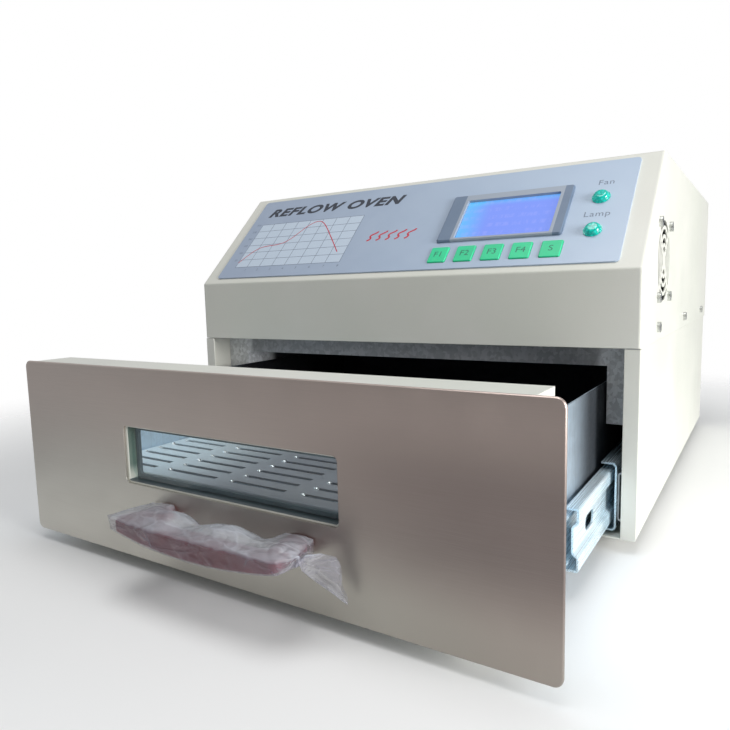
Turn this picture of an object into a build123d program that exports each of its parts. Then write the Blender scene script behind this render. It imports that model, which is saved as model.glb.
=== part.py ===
"""Bench-top infrared reflow oven with a drawer, as an assembly of separate pieces.

Frame: millimetres, +Z up, the front faces -Y. The origin is on the bench, at the centre of the whole
oven's footprint with its drawer resting part-way open.
"""

import os
from math import cos, radians, sin, tan

from build123d import *

os.makedirs("parts", exist_ok=True)

# ---------------------------------------------------------------- driving dimensions
CASE_WIDTH = 370.0
CASE_DEPTH = 430.0
CASE_HEIGHT = 251.0  # without the feet
FOOT_HEIGHT = 9.0
CASE_FRONT_Y = -116.3  # puts the origin at the middle of the footprint with the drawer at rest
CASE_BOTTOM_Z = FOOT_HEIGHT

SHEET = 1.0  # thickness of the folded sheet metal
SEAM_HEIGHT = 121.5  # underside of the hood's fascia, above the case's bottom
FASCIA_TOP = 170.0  # where the vertical fascia turns into the sloping control panel
SLOPE_RUN = CASE_HEIGHT - FASCIA_TOP  # the panel leans back at 45 degrees
BEND_RADIUS = 2.5

DRAWER_REST = 166.0  # how far the drawer stands open at rest
PLATE_THICKNESS = 1.5
CLOSING_GAP = 0.5  # between the front plate and the case when the drawer is shut

HALF_WIDTH = CASE_WIDTH / 2


def back(distance):
    """The y of a point that far behind the case's front face."""
    return CASE_FRONT_Y + distance


def up(height):
    """The z of a point that high above the case's bottom."""
    return CASE_BOTTOM_Z + height


def out(distance):
    """The y, at rest, of a drawer point that far behind the case's front face when the drawer is shut."""
    return back(distance) - DRAWER_REST


def box_between(x0, x1, y0, y1, z0, z1, mode=Mode.ADD):
    """A box given by its faces."""
    with Locations(((x0 + x1) / 2, (y0 + y1) / 2, (z0 + z1) / 2)):
        Box(x1 - x0, y1 - y0, z1 - z0, mode=mode)


def bent_sheet(points, thickness=SHEET, radius=None, side=Side.LEFT):
    """The cross-section of a sheet folded along a line of points, thickened to one side of it."""
    with BuildLine() as fold:
        if radius:
            FilletPolyline(*points, radius=radius)
        else:
            Polyline(*points)
        offset(amount=thickness, side=side)
    make_face(fold.edges())


# ---------------------------------------------------------------- planes used again and again
# Local x runs along +X and local y runs up the sloping control panel; its normal points out of it.
PANEL = Plane(
    origin=(0, back(0), up(FASCIA_TOP)), x_dir=(1, 0, 0), z_dir=(0, -sin(radians(45)), sin(radians(45)))
)


def wall(y):
    """An upright plane at y. Local x is +X and local y is +Z; its normal points to the front."""
    return Plane.XZ.offset(-y)


def profile(x):
    """An upright plane at x. Local x is +Y and local y is +Z; its normal points along +X."""
    return Plane.YZ.offset(x)


# ---------------------------------------------------------------- control panel layout, on PANEL
OVERLAY_SIZE = (340.0, 103.5)
OVERLAY_CENTRE = (0.0, 57.3)
OVERLAY_THICKNESS = 1.0
DISPLAY_CENTRE = (84.0, 58.5)
BEZEL_SIZE = (92.0, 51.0)
DISPLAY_CUT_CENTRE = (84.5, 58.3)
DISPLAY_CUT_SIZE = (88.0, 49.4)
SCREEN_CENTRE = (86.5, 56.2)
SCREEN_SIZE = (70.0, 41.6)
KEY_SIZE = (14.0, 15.5)
KEY_NAMES = ["key_f1", "key_f2", "key_f3", "key_f4", "key_start"]
KEY_CENTRES = [(44.2 + 20.4 * i, 19.7) for i in range(5)]
KEY_TRAVEL = 0.5
LAMP_CENTRES = [(149.5, 35.5), (149.5, 68.5)]
LAMP_HOLE_RADIUS = 5.0

# ---------------------------------------------------------------- side fan and rear fan
SIDE_FAN_CENTRE = (back(82), up(176))
SIDE_FAN_SIZE = 60.0
SIDE_FAN_DEPTH = 15.0
SIDE_FAN_PITCH = 50.0
REAR_FAN_CENTRE = (0.0, up(120))
REAR_FAN_SIZE = 120.0
REAR_FAN_DEPTH = 38.0
REAR_FAN_PITCH = 105.0
SCREW_RADIUS = 2.0
CLEAR_RADIUS = 2.2
HEAD_RADIUS = 3.6
HEAD_HEIGHT = 2.2


def ring_slots(radii, width, bridge):
    """A finger-guard pattern: rings of slots, held together by a diagonal cross."""
    for radius in sorted(radii, reverse=True):
        Circle(radius + width / 2)
        Circle(radius - width / 2, mode=Mode.SUBTRACT)
    Rectangle(bridge, 4 * max(radii), rotation=45, mode=Mode.SUBTRACT)
    Rectangle(bridge, 4 * max(radii), rotation=-45, mode=Mode.SUBTRACT)


# ================================================================ case
HOOD_SCREW_HEIGHT = 131.0
HOOD_SCREW_DEPTHS = [60.0, 215.0, 370.0]
BASE_HALF = HALF_WIDTH - SHEET  # the base's walls stand just inside the hood's
BASE_WALL_TOP = 140.0
FRONT_FLANGE_INNER = 175.0  # half-width of the case's mouth between the front flanges

with BuildPart() as hood_cover:
    with BuildSketch(Plane.YZ):
        with BuildLine():
            Polyline(
                (back(0), up(SEAM_HEIGHT)),
                (back(0), up(FASCIA_TOP)),
                (back(SLOPE_RUN), up(CASE_HEIGHT)),
                (back(CASE_DEPTH), up(CASE_HEIGHT)),
                (back(CASE_DEPTH), up(SEAM_HEIGHT)),
                close=True,
            )
        make_face()
    extrude(amount=HALF_WIDTH, both=True)
    front_bends = hood_cover.edges().filter_by(Axis.X).filter_by(
        lambda e: e.center().Y < back(SLOPE_RUN + 1) and e.center().Z > up(FASCIA_TOP - 1)
    )
    side_edges = hood_cover.edges().filter_by(
        lambda e: abs(e.center().X) > HALF_WIDTH - 1
        and e.center().Z > up(SEAM_HEIGHT + 1)
        and e.center().Y < back(CASE_DEPTH - 1)
    )
    fillet(front_bends + side_edges, radius=BEND_RADIUS)
    offset(
        amount=-SHEET,
        openings=[
            hood_cover.faces().sort_by(Axis.Z)[0],
            hood_cover.faces().sort_by(Axis.Y)[-1],
        ],
    )
    # the fascia's lower edge turns inwards
    box_between(
        -BASE_HALF + 1.2, BASE_HALF - 1.2, back(0.5), back(14), up(SEAM_HEIGHT), up(SEAM_HEIGHT + SHEET)
    )
    with BuildSketch(PANEL):
        with Locations(DISPLAY_CUT_CENTRE):
            Rectangle(*DISPLAY_CUT_SIZE)
        with Locations(*KEY_CENTRES):
            Circle(4)
        with Locations(*LAMP_CENTRES):
            Circle(LAMP_HOLE_RADIUS)
    extrude(amount=3, both=True, mode=Mode.SUBTRACT)
    with BuildSketch(profile(HALF_WIDTH + 1)):
        with Locations(SIDE_FAN_CENTRE):
            ring_slots([8, 14, 20, 26], 3.4, 4)
            with GridLocations(SIDE_FAN_PITCH, SIDE_FAN_PITCH, 2, 2):
                Circle(CLEAR_RADIUS)
    extrude(amount=-4, mode=Mode.SUBTRACT)
    with BuildSketch(profile(-HALF_WIDTH - 1)):
        with Locations((back(150), up(196)), (back(150), up(160))):
            with GridLocations(11, 0, 14, 1):
                SlotOverall(26, 4, rotation=90)
    extrude(amount=4, mode=Mode.SUBTRACT)
    with BuildSketch(profile(-HALF_WIDTH - 1)):
        with Locations(*[(back(depth), up(HOOD_SCREW_HEIGHT)) for depth in HOOD_SCREW_DEPTHS]):
            Circle(CLEAR_RADIUS)
    extrude(amount=CASE_WIDTH + 2, mode=Mode.SUBTRACT)
hood_cover.part.label = "hood_cover"
export_step(hood_cover.part, "parts/hood_cover.step")

FOOT_POSITIONS = [(x, back(y)) for x in (-158, 158) for y in (32, 400)]
REAR_PANEL_Y = back(428.0)
FLANGE_WIDTH = 12.0
REAR_SCREWS = [(x, up(z)) for x in (-177, 177) for z in (25, 110)]

with BuildPart() as base_pan:
    with BuildSketch(wall(back(0))):
        bent_sheet(
            [
                (-BASE_HALF, up(BASE_WALL_TOP)),
                (-BASE_HALF, up(0)),
                (BASE_HALF, up(0)),
                (BASE_HALF, up(BASE_WALL_TOP)),
            ],
            radius=1.5,
        )
    extrude(amount=-(REAR_PANEL_Y - CASE_FRONT_Y - 0.1))
    for sign in (-1, 1):
        x0, x1 = sorted((sign * FRONT_FLANGE_INNER, sign * (BASE_HALF - 0.5)))
        box_between(x0, x1, back(0), back(SHEET), up(0.5), up(SEAM_HEIGHT - 0.5))
        x0, x1 = sorted((sign * (BASE_HALF - FLANGE_WIDTH), sign * (BASE_HALF - 0.5)))
        box_between(x0, x1, REAR_PANEL_Y - 0.1 - SHEET, REAR_PANEL_Y - 0.1, up(0.5), up(BASE_WALL_TOP))
    with BuildSketch(Plane.XY.offset(up(-1))):
        with Locations(*FOOT_POSITIONS):
            Circle(CLEAR_RADIUS)
        with Locations((0, back(330))):
            with GridLocations(14, 0, 12, 1):
                SlotOverall(50, 4, rotation=90)
    extrude(amount=3, mode=Mode.SUBTRACT)
    with BuildSketch(profile(-BASE_HALF - 1)):
        with Locations(*[(back(depth), up(HOOD_SCREW_HEIGHT)) for depth in HOOD_SCREW_DEPTHS]):
            Circle(CLEAR_RADIUS)
    extrude(amount=CASE_WIDTH + 2, mode=Mode.SUBTRACT)
    with BuildSketch(wall(REAR_PANEL_Y - 3)):
        with Locations(*REAR_SCREWS):
            Circle(CLEAR_RADIUS)
    extrude(amount=-4, mode=Mode.SUBTRACT)
    # the walls stop short of the fascia above the seam
    box_between(
        -HALF_WIDTH,
        HALF_WIDTH,
        back(-1),
        back(16),
        up(SEAM_HEIGHT - 0.5),
        up(BASE_WALL_TOP + 1),
        mode=Mode.SUBTRACT,
    )
base_pan.part.label = "base_pan"
export_step(base_pan.part, "parts/base_pan.step")

INLET_CENTRE = (-138.0, up(48))
INLET_CUT = (28.0, 48.0)
SWITCH_CENTRE = (-98.0, up(48))
SWITCH_CUT = (19.0, 28.5)
PANEL_HALF = BASE_HALF - SHEET - 0.3
PANEL_TOP = CASE_HEIGHT - SHEET - 0.3

with BuildPart() as rear_panel:
    with BuildSketch(wall(REAR_PANEL_Y)):
        with Locations((0, (up(SHEET + 0.3) + up(PANEL_TOP)) / 2)):
            Rectangle(2 * PANEL_HALF, PANEL_TOP - SHEET - 0.3)
        with Locations(REAR_FAN_CENTRE):
            for ring in (52, 42, 32, 22, 12):
                Circle(ring + 3, mode=Mode.SUBTRACT)
                Circle(ring - 3)
            Rectangle(5, 110, rotation=45)
            Rectangle(5, 110, rotation=-45)
            with GridLocations(REAR_FAN_PITCH, REAR_FAN_PITCH, 2, 2):
                Circle(CLEAR_RADIUS, mode=Mode.SUBTRACT)
        with Locations(INLET_CENTRE):
            Rectangle(*INLET_CUT, mode=Mode.SUBTRACT)
        with Locations(SWITCH_CENTRE):
            Rectangle(*SWITCH_CUT, mode=Mode.SUBTRACT)
        with Locations((110, up(222)), (-110, up(222))):
            with GridLocations(9, 0, 9, 1):
                SlotOverall(26, 3.6, rotation=90, mode=Mode.SUBTRACT)
        with Locations(*REAR_SCREWS):
            Circle(CLEAR_RADIUS, mode=Mode.SUBTRACT)
    extrude(amount=-SHEET)
rear_panel.part.label = "rear_panel"
export_step(rear_panel.part, "parts/rear_panel.step")

with BuildPart() as rubber_feet:
    with BuildSketch(Plane.XY):
        with Locations(*FOOT_POSITIONS):
            Circle(10)
    extrude(amount=FOOT_HEIGHT, taper=-5)
    with BuildSketch(Plane.XY):
        with Locations(*FOOT_POSITIONS):
            Circle(5)
    extrude(amount=4, mode=Mode.SUBTRACT)
    with BuildSketch(Plane.XY):
        with Locations(*FOOT_POSITIONS):
            Circle(CLEAR_RADIUS)
    extrude(amount=FOOT_HEIGHT, mode=Mode.SUBTRACT)
rubber_feet.part.label = "rubber_feet"
export_step(rubber_feet.part, "parts/rubber_feet.step")


def screws(plane, centres, length, head_radius=HEAD_RADIUS, head_height=HEAD_HEIGHT):
    """Pan-head screws whose heads sit on a plane, with their shanks going in behind it."""
    with BuildSketch(plane) as heads:
        with Locations(*centres):
            Circle(head_radius)
    extrude(heads.sketch, amount=head_height)
    with BuildSketch(plane) as shanks:
        with Locations(*centres):
            Circle(SCREW_RADIUS)
    extrude(shanks.sketch, amount=-length)
    with BuildSketch(plane.offset(head_height)) as recesses:
        with Locations(*centres):
            Rectangle(head_radius * 1.1, 0.7)
            Rectangle(0.7, head_radius * 1.1)
    extrude(recesses.sketch, amount=-1.0, mode=Mode.SUBTRACT)


hood_screw_centres = [(back(depth), up(HOOD_SCREW_HEIGHT)) for depth in HOOD_SCREW_DEPTHS]
side_fan_screw_centres = [
    (SIDE_FAN_CENTRE[0] + u * SIDE_FAN_PITCH / 2, SIDE_FAN_CENTRE[1] + v * SIDE_FAN_PITCH / 2)
    for u in (-1, 1)
    for v in (-1, 1)
]
rear_fan_screw_centres = [
    (REAR_FAN_CENTRE[0] + u * REAR_FAN_PITCH / 2, REAR_FAN_CENTRE[1] + v * REAR_FAN_PITCH / 2)
    for u in (-1, 1)
    for v in (-1, 1)
]
LEFT_OUTWARD = Plane(origin=(-HALF_WIDTH, 0, 0), x_dir=(0, -1, 0), z_dir=(-1, 0, 0))
REAR_OUTWARD = Plane(origin=(0, REAR_PANEL_Y + SHEET, 0), x_dir=(-1, 0, 0), z_dir=(0, 1, 0))
STOP_SCREW_X = 175.4  # seat of the stop screw's head inside the case's mouth
UNDER_FEET = Plane(origin=(0, 0, 4), x_dir=(1, 0, 0), z_dir=(0, 0, -1))

with BuildPart() as case_screws:
    screws(profile(HALF_WIDTH), hood_screw_centres + side_fan_screw_centres, 6)
    screws(LEFT_OUTWARD, [(-y, z) for y, z in hood_screw_centres], 6)
    screws(REAR_OUTWARD, [(-x, z) for x, z in REAR_SCREWS + rear_fan_screw_centres], 6)
    screws(UNDER_FEET, [(x, -y) for x, y in FOOT_POSITIONS], 8)
    for sign in (-1, 1):
        inside_wall = Plane(origin=(sign * STOP_SCREW_X, 0, 0), x_dir=(0, -sign, 0), z_dir=(-sign, 0, 0))
        stop_length = BASE_HALF - SHEET - STOP_SCREW_X
        screws(inside_wall, [(-sign * back(11), up(63))], stop_length, head_radius=2.6, head_height=1.8)
case_screws.part.label = "case_screws"
export_step(case_screws.part, "parts/case_screws.step")

# ================================================================ heating chamber
CHAMBER_HALF = 161.0
CHAMBER_FRONT = 28.0
CHAMBER_REAR = 372.0
CHAMBER_BOTTOM = 68.0
CHAMBER_TOP = 158.0
MOUTH_HALF = 159.5
MOUTH_TOP = 107.0
FRAME_HALF = 182.5
HEATER_DEPTHS = [78.0, 148.0, 218.0, 288.0]
HEATER_HEIGHT = 128.0
PROBE_DEPTHS = [130.0, 250.0]
PROBE_HEIGHT = 104.0

with BuildPart() as chamber_shell:
    box_between(
        -CHAMBER_HALF,
        CHAMBER_HALF,
        back(CHAMBER_FRONT),
        back(CHAMBER_REAR),
        up(CHAMBER_BOTTOM),
        up(CHAMBER_TOP),
    )
    offset(amount=-SHEET, openings=[chamber_shell.faces().sort_by(Axis.Z)[0]])
    # the front wall is wider than the chamber, so that it closes the case's mouth at both sides
    box_between(
        -FRAME_HALF,
        FRAME_HALF,
        back(CHAMBER_FRONT),
        back(CHAMBER_FRONT + SHEET),
        up(CHAMBER_BOTTOM),
        up(CHAMBER_TOP),
    )
    box_between(
        -MOUTH_HALF,
        MOUTH_HALF,
        back(CHAMBER_FRONT - 1),
        back(CHAMBER_FRONT + 3),
        up(CHAMBER_BOTTOM - 1),
        up(MOUTH_TOP),
        mode=Mode.SUBTRACT,
    )
    # folded lip over the mouth
    box_between(
        -MOUTH_HALF,
        MOUTH_HALF,
        back(CHAMBER_FRONT),
        back(CHAMBER_FRONT + 12),
        up(MOUTH_TOP),
        up(MOUTH_TOP + SHEET),
    )
    with BuildSketch(profile(-CHAMBER_HALF - 1)):
        with Locations(*[(back(depth), up(HEATER_HEIGHT)) for depth in HEATER_DEPTHS]):
            Circle(6.8)
    extrude(amount=2 * CHAMBER_HALF + 2, mode=Mode.SUBTRACT)
    with BuildSketch(profile(-CHAMBER_HALF - 1)):
        with Locations(*[(back(depth), up(PROBE_HEIGHT)) for depth in PROBE_DEPTHS]):
            Circle(2.3)
    extrude(amount=4, mode=Mode.SUBTRACT)
    with BuildSketch(wall(back(CHAMBER_REAR + 1))):
        with Locations((0, up(118))):
            with GridLocations(12, 12, 8, 5):
                Circle(4)
    extrude(amount=4, mode=Mode.SUBTRACT)
chamber_shell.part.label = "chamber_shell"
export_step(chamber_shell.part, "parts/chamber_shell.step")

BLANKET_BOTTOM = CHAMBER_TOP + 0.3
BLANKET_THICKNESS = 12.0
SHIELD_TOP = 172.0
SHIELD_FRONT = 42.0

with BuildPart() as chamber_insulation:
    box_between(
        -155,
        155,
        back(SHIELD_FRONT + 2),
        back(365),
        up(BLANKET_BOTTOM),
        up(BLANKET_BOTTOM + BLANKET_THICKNESS),
    )
    fillet(chamber_insulation.edges().filter_by(Axis.Z), radius=6)
chamber_insulation.part.label = "chamber_insulation"
export_step(chamber_insulation.part, "parts/chamber_insulation.step")

with BuildPart() as heat_shield:
    with BuildSketch(wall(back(SHIELD_FRONT))):
        bent_sheet(
            [
                (-159, up(CHAMBER_TOP + 0.2)),
                (-159, up(SHIELD_TOP)),
                (159, up(SHIELD_TOP)),
                (159, up(CHAMBER_TOP + 0.2)),
            ],
            radius=2,
            side=Side.RIGHT,
        )
    extrude(amount=-(368 - SHIELD_FRONT))
heat_shield.part.label = "heat_shield"
export_step(heat_shield.part, "parts/heat_shield.step")

REFLECTOR_HEIGHT = 142.0

with BuildPart() as lamp_reflector:
    with BuildSketch(profile(-154)):
        with BuildLine():
            ridge = [(back(43), up(REFLECTOR_HEIGHT - 8))]
            for depth in HEATER_DEPTHS:
                ridge += [
                    (back(depth - 22), up(REFLECTOR_HEIGHT)),
                    (back(depth + 22), up(REFLECTOR_HEIGHT)),
                    (back(depth + 35), up(REFLECTOR_HEIGHT - 8)),
                ]
            Polyline(*ridge)
            offset(amount=0.8, side=Side.LEFT)
        make_face()
    extrude(amount=308)
lamp_reflector.part.label = "lamp_reflector"
export_step(lamp_reflector.part, "parts/lamp_reflector.step")

TUBE_HALF = 149.0
CAP_HALF = 168.0
heater_centres = [(back(depth), up(HEATER_HEIGHT)) for depth in HEATER_DEPTHS]

with BuildPart() as quartz_tubes:
    with BuildSketch(profile(-TUBE_HALF)):
        with Locations(*heater_centres):
            Circle(5)
            Circle(4, mode=Mode.SUBTRACT)
    extrude(amount=2 * TUBE_HALF)
quartz_tubes.part.label = "quartz_tubes"
export_step(quartz_tubes.part, "parts/quartz_tubes.step")

with BuildPart() as heater_filaments:
    with BuildSketch(profile(-TUBE_HALF)):
        with Locations(*heater_centres):
            Circle(1.6)
    extrude(amount=2 * TUBE_HALF)
heater_filaments.part.label = "heater_filaments"
export_step(heater_filaments.part, "parts/heater_filaments.step")

with BuildPart() as heater_end_caps:
    for start in (-CAP_HALF, TUBE_HALF - 6):
        with BuildSketch(profile(start)):
            with Locations(*heater_centres):
                Circle(6.5)
        extrude(amount=CAP_HALF - TUBE_HALF + 6)
    with BuildSketch(profile(-TUBE_HALF - 0.1)):
        with Locations(*heater_centres):
            Circle(5.1)
    extrude(amount=2 * TUBE_HALF + 0.2, mode=Mode.SUBTRACT)
heater_end_caps.part.label = "heater_end_caps"
export_step(heater_end_caps.part, "parts/heater_end_caps.step")

with BuildPart() as thermocouples:
    for depth in PROBE_DEPTHS:
        with BuildSketch(profile(-176)):
            with Locations((back(depth), up(PROBE_HEIGHT))):
                RegularPolygon(4.5, 6)
        extrude(amount=14.8)
        with BuildSketch(profile(-176)):
            with Locations((back(depth), up(PROBE_HEIGHT))):
                Circle(2)
        extrude(amount=60)
thermocouples.part.label = "thermocouples"
export_step(thermocouples.part, "parts/thermocouples.step")

# ================================================================ drawer
PLATE_BOTTOM = -1.0
PLATE_TOP = 118.5
PLATE_CENTRE = (PLATE_BOTTOM + PLATE_TOP) / 2
PLATE_FRONT = -CLOSING_GAP - PLATE_THICKNESS  # behind the case's front face, drawer shut
PAN_FRONT = -CLOSING_GAP
PAN_DEPTH = 25.0
PAN_HALF = 173.0
PAN_LOWER_HALF = 157.5  # narrower beside the slides
PAN_STEP = 66.0
WINDOW_X = -3.0  # the window sits a little left of the plate's middle
WINDOW_HALF = 80.0
WINDOW_BOTTOM = 46.5
WINDOW_TOP = 82.5
WINDOW_CENTRE = (WINDOW_BOTTOM + WINDOW_TOP) / 2
REVEAL_DEPTH = 9.0
HANDLE_X = 2.0  # and the handle a little right of it
HANDLE_HALF = 60.0
HANDLE_TOP = 37.6
HANDLE_MID_BOTTOM = 27.0
HANDLE_END_BOTTOM = 32.0
HANDLE_SCREW_X = 49.5
HANDLE_SCREW_HEIGHT = 34.1
HANDLE_SCREWS = [(HANDLE_X + side * HANDLE_SCREW_X, FOOT_HEIGHT + HANDLE_SCREW_HEIGHT) for side in (-1, 1)]

with BuildPart() as drawer_front_plate:
    with BuildSketch(wall(out(PLATE_FRONT))):
        with Locations((0, up(PLATE_CENTRE))):
            RectangleRounded(CASE_WIDTH, PLATE_TOP - PLATE_BOTTOM, 4.5)
        with Locations((WINDOW_X, up(WINDOW_CENTRE))):
            RectangleRounded(2 * WINDOW_HALF, WINDOW_TOP - WINDOW_BOTTOM, 3, mode=Mode.SUBTRACT)
        with Locations(*HANDLE_SCREWS):
            Circle(CLEAR_RADIUS, mode=Mode.SUBTRACT)
    extrude(amount=-PLATE_THICKNESS)
    chamfer(drawer_front_plate.faces().sort_by(Axis.Y)[0].outer_wire().edges(), length=0.5)
drawer_front_plate.part.label = "drawer_front_plate"
export_step(drawer_front_plate.part, "parts/drawer_front_plate.step")

with BuildPart() as door_pan:
    with BuildSketch(wall(out(PAN_FRONT))):
        with BuildLine():
            Polyline(
                (-PAN_HALF, up(PLATE_TOP)),
                (PAN_HALF, up(PLATE_TOP)),
                (PAN_HALF, up(PAN_STEP)),
                (PAN_LOWER_HALF, up(PAN_STEP)),
                (PAN_LOWER_HALF, up(3)),
                (-PAN_LOWER_HALF, up(3)),
                (-PAN_LOWER_HALF, up(PAN_STEP)),
                (-PAN_HALF, up(PAN_STEP)),
                close=True,
            )
        make_face()
    extrude(amount=-PAN_DEPTH)
    offset(amount=-SHEET, openings=[door_pan.faces().sort_by(Axis.Y)[-1]])
    # the window's reveal is folded back from the pan's skin
    with BuildSketch(wall(out(PAN_FRONT + SHEET))):
        with Locations((WINDOW_X, up(WINDOW_CENTRE))):
            RectangleRounded(2 * WINDOW_HALF, WINDOW_TOP - WINDOW_BOTTOM, 3)
    extrude(amount=-(REVEAL_DEPTH - SHEET))
    with BuildSketch(wall(out(PAN_FRONT))):
        with Locations((WINDOW_X, up(WINDOW_CENTRE))):
            RectangleRounded(2 * (WINDOW_HALF - SHEET), WINDOW_TOP - WINDOW_BOTTOM - 2 * SHEET, 2)
    extrude(amount=-REVEAL_DEPTH, mode=Mode.SUBTRACT)
    with BuildSketch(wall(out(PAN_FRONT))):
        with Locations(*HANDLE_SCREWS):
            Circle(CLEAR_RADIUS)
    extrude(amount=-2, mode=Mode.SUBTRACT)
door_pan.part.label = "door_pan"
export_step(door_pan.part, "parts/door_pan.step")

GLASS_HALF = WINDOW_HALF - SHEET - 0.4
GLASS_HEIGHT = WINDOW_TOP - WINDOW_BOTTOM - 2 * SHEET - 0.8
GLASS_FRONT = PAN_FRONT + 3.0
GLASS_THICKNESS = 3.0

with BuildPart() as window_glass:
    with BuildSketch(wall(out(GLASS_FRONT))):
        with Locations((WINDOW_X, up(WINDOW_CENTRE))):
            Rectangle(2 * GLASS_HALF, GLASS_HEIGHT)
    extrude(amount=-GLASS_THICKNESS)
    chamfer(window_glass.edges().filter_by(Axis.Y), length=5)
window_glass.part.label = "window_glass"
export_step(window_glass.part, "parts/window_glass.step")

with BuildPart() as window_retainer:
    with BuildSketch(wall(out(GLASS_FRONT + GLASS_THICKNESS + 0.1))):
        with Locations((WINDOW_X, up(WINDOW_CENTRE))):
            RectangleRounded(2 * GLASS_HALF, GLASS_HEIGHT, 2)
            RectangleRounded(2 * GLASS_HALF - 5, GLASS_HEIGHT - 5, 2, mode=Mode.SUBTRACT)
    extrude(amount=-2)
window_retainer.part.label = "window_retainer"
export_step(window_retainer.part, "parts/window_retainer.step")

HANDLE_THICKNESS = 9.0
HANDLE_LEG = 11.0
HANDLE_SPLAY = 5.0  # the legs stand that much nearer together at the plate than in front
HANDLE_END_REACH = 30.0
HANDLE_MID_REACH = 32.0
handle_root_y = out(PLATE_FRONT)

with BuildPart() as drawer_handle:
    with BuildSketch(Plane(origin=(HANDLE_X, 0, up(HANDLE_MID_BOTTOM)))) as bow:
        with BuildLine():
            ThreePointArc(
                (-HANDLE_HALF, handle_root_y - HANDLE_END_REACH),
                (0, handle_root_y - HANDLE_MID_REACH),
                (HANDLE_HALF, handle_root_y - HANDLE_END_REACH),
            )
            Polyline(
                (HANDLE_HALF, handle_root_y - HANDLE_END_REACH),
                (HANDLE_HALF - HANDLE_SPLAY, handle_root_y),
                (HANDLE_HALF - HANDLE_SPLAY - HANDLE_LEG, handle_root_y),
                (HANDLE_HALF - HANDLE_LEG - 2, handle_root_y - HANDLE_END_REACH + HANDLE_THICKNESS),
                (HANDLE_LEG + 2 - HANDLE_HALF, handle_root_y - HANDLE_END_REACH + HANDLE_THICKNESS),
                (HANDLE_LEG + HANDLE_SPLAY - HANDLE_HALF, handle_root_y),
                (HANDLE_SPLAY - HANDLE_HALF, handle_root_y),
                (-HANDLE_HALF, handle_root_y - HANDLE_END_REACH),
            )
        make_face()
        fillet(bow.vertices().group_by(Axis.Y)[0], radius=5)
    extrude(amount=HANDLE_TOP - HANDLE_MID_BOTTOM)
    # the underside is bowed, so the front face is deepest in the middle
    with BuildSketch(wall(handle_root_y + 1).shift_origin((HANDLE_X, handle_root_y + 1, 0))):
        with BuildLine():
            ThreePointArc(
                (-HANDLE_HALF - 4, up(HANDLE_END_BOTTOM + 0.6)),
                (0, up(HANDLE_MID_BOTTOM)),
                (HANDLE_HALF + 4, up(HANDLE_END_BOTTOM + 0.6)),
            )
            Polyline(
                (HANDLE_HALF + 4, up(HANDLE_END_BOTTOM + 0.6)),
                (HANDLE_HALF + 4, up(HANDLE_MID_BOTTOM - 8)),
                (-HANDLE_HALF - 4, up(HANDLE_MID_BOTTOM - 8)),
                (-HANDLE_HALF - 4, up(HANDLE_END_BOTTOM + 0.6)),
            )
        make_face()
    extrude(amount=HANDLE_MID_REACH + 5, mode=Mode.SUBTRACT)
    top_front = drawer_handle.faces().sort_by(Axis.Z)[-1].edges().sort_by(Axis.Y)[:3]
    chamfer(top_front, length=1.2)
    with BuildSketch(wall(handle_root_y)):
        with Locations(*HANDLE_SCREWS):
            Circle(SCREW_RADIUS + 0.05)
    extrude(amount=9, mode=Mode.SUBTRACT)
drawer_handle.part.label = "drawer_handle"
export_step(drawer_handle.part, "parts/drawer_handle.step")

INSIDE_PAN = Plane(origin=(0, out(PAN_FRONT + SHEET), 0), x_dir=(-1, 0, 0), z_dir=(0, 1, 0))


FILM_GAP = 1.0
FILM_THICKNESS = 0.5


def bow_outline(half, end_reach, mid_reach):
    """The outline, seen from above, of a bow that bulges forward from the front plate."""
    with BuildLine() as bow:
        Line((-half, handle_root_y - 0.3), (-half, handle_root_y - end_reach))
        ThreePointArc(
            (-half, handle_root_y - end_reach),
            (0, handle_root_y - mid_reach),
            (half, handle_root_y - end_reach),
        )
        Line((half, handle_root_y - end_reach), (half, handle_root_y - 0.3))
        Line((half, handle_root_y - 0.3), (-half, handle_root_y - 0.3))
    make_face(bow.edges())


with BuildPart() as handle_film:
    film_bottom = HANDLE_MID_BOTTOM - FILM_GAP - FILM_THICKNESS
    film_height = HANDLE_TOP - HANDLE_MID_BOTTOM + 2 * (FILM_GAP + FILM_THICKNESS)
    with BuildSketch(Plane(origin=(HANDLE_X, 0, up(film_bottom)))):
        bow_outline(
            HANDLE_HALF + FILM_GAP + FILM_THICKNESS,
            HANDLE_END_REACH + FILM_GAP + FILM_THICKNESS,
            HANDLE_MID_REACH + FILM_GAP + FILM_THICKNESS,
        )
    extrude(amount=film_height)
    with BuildSketch(Plane(origin=(HANDLE_X, 0, up(film_bottom) + FILM_THICKNESS))):
        bow_outline(HANDLE_HALF + FILM_GAP, HANDLE_END_REACH + FILM_GAP, HANDLE_MID_REACH + FILM_GAP)
    extrude(amount=film_height - 2 * FILM_THICKNESS, mode=Mode.SUBTRACT)
handle_film.part.label = "handle_film"
export_step(handle_film.part, "parts/handle_film.step")

BOX_HALF = 158.3
BOX_FRONT = PAN_FRONT + PAN_DEPTH + 0.1
BOX_REAR = 348.0
BOX_BOTTOM = 10.0
BOX_TOP = 96.0
LEDGE_HEIGHT = 31.0
VIEW_HALF = 132.0  # the opening in the box's front wall, wider than the window so that the tray shows
VIEW_BOTTOM = 31.5
VIEW_TOP = 88.0
SLIDE_HEIGHT = 25.25
SLIDE_SCREW_DEPTHS = [60.0, 180.0, 300.0]

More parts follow.
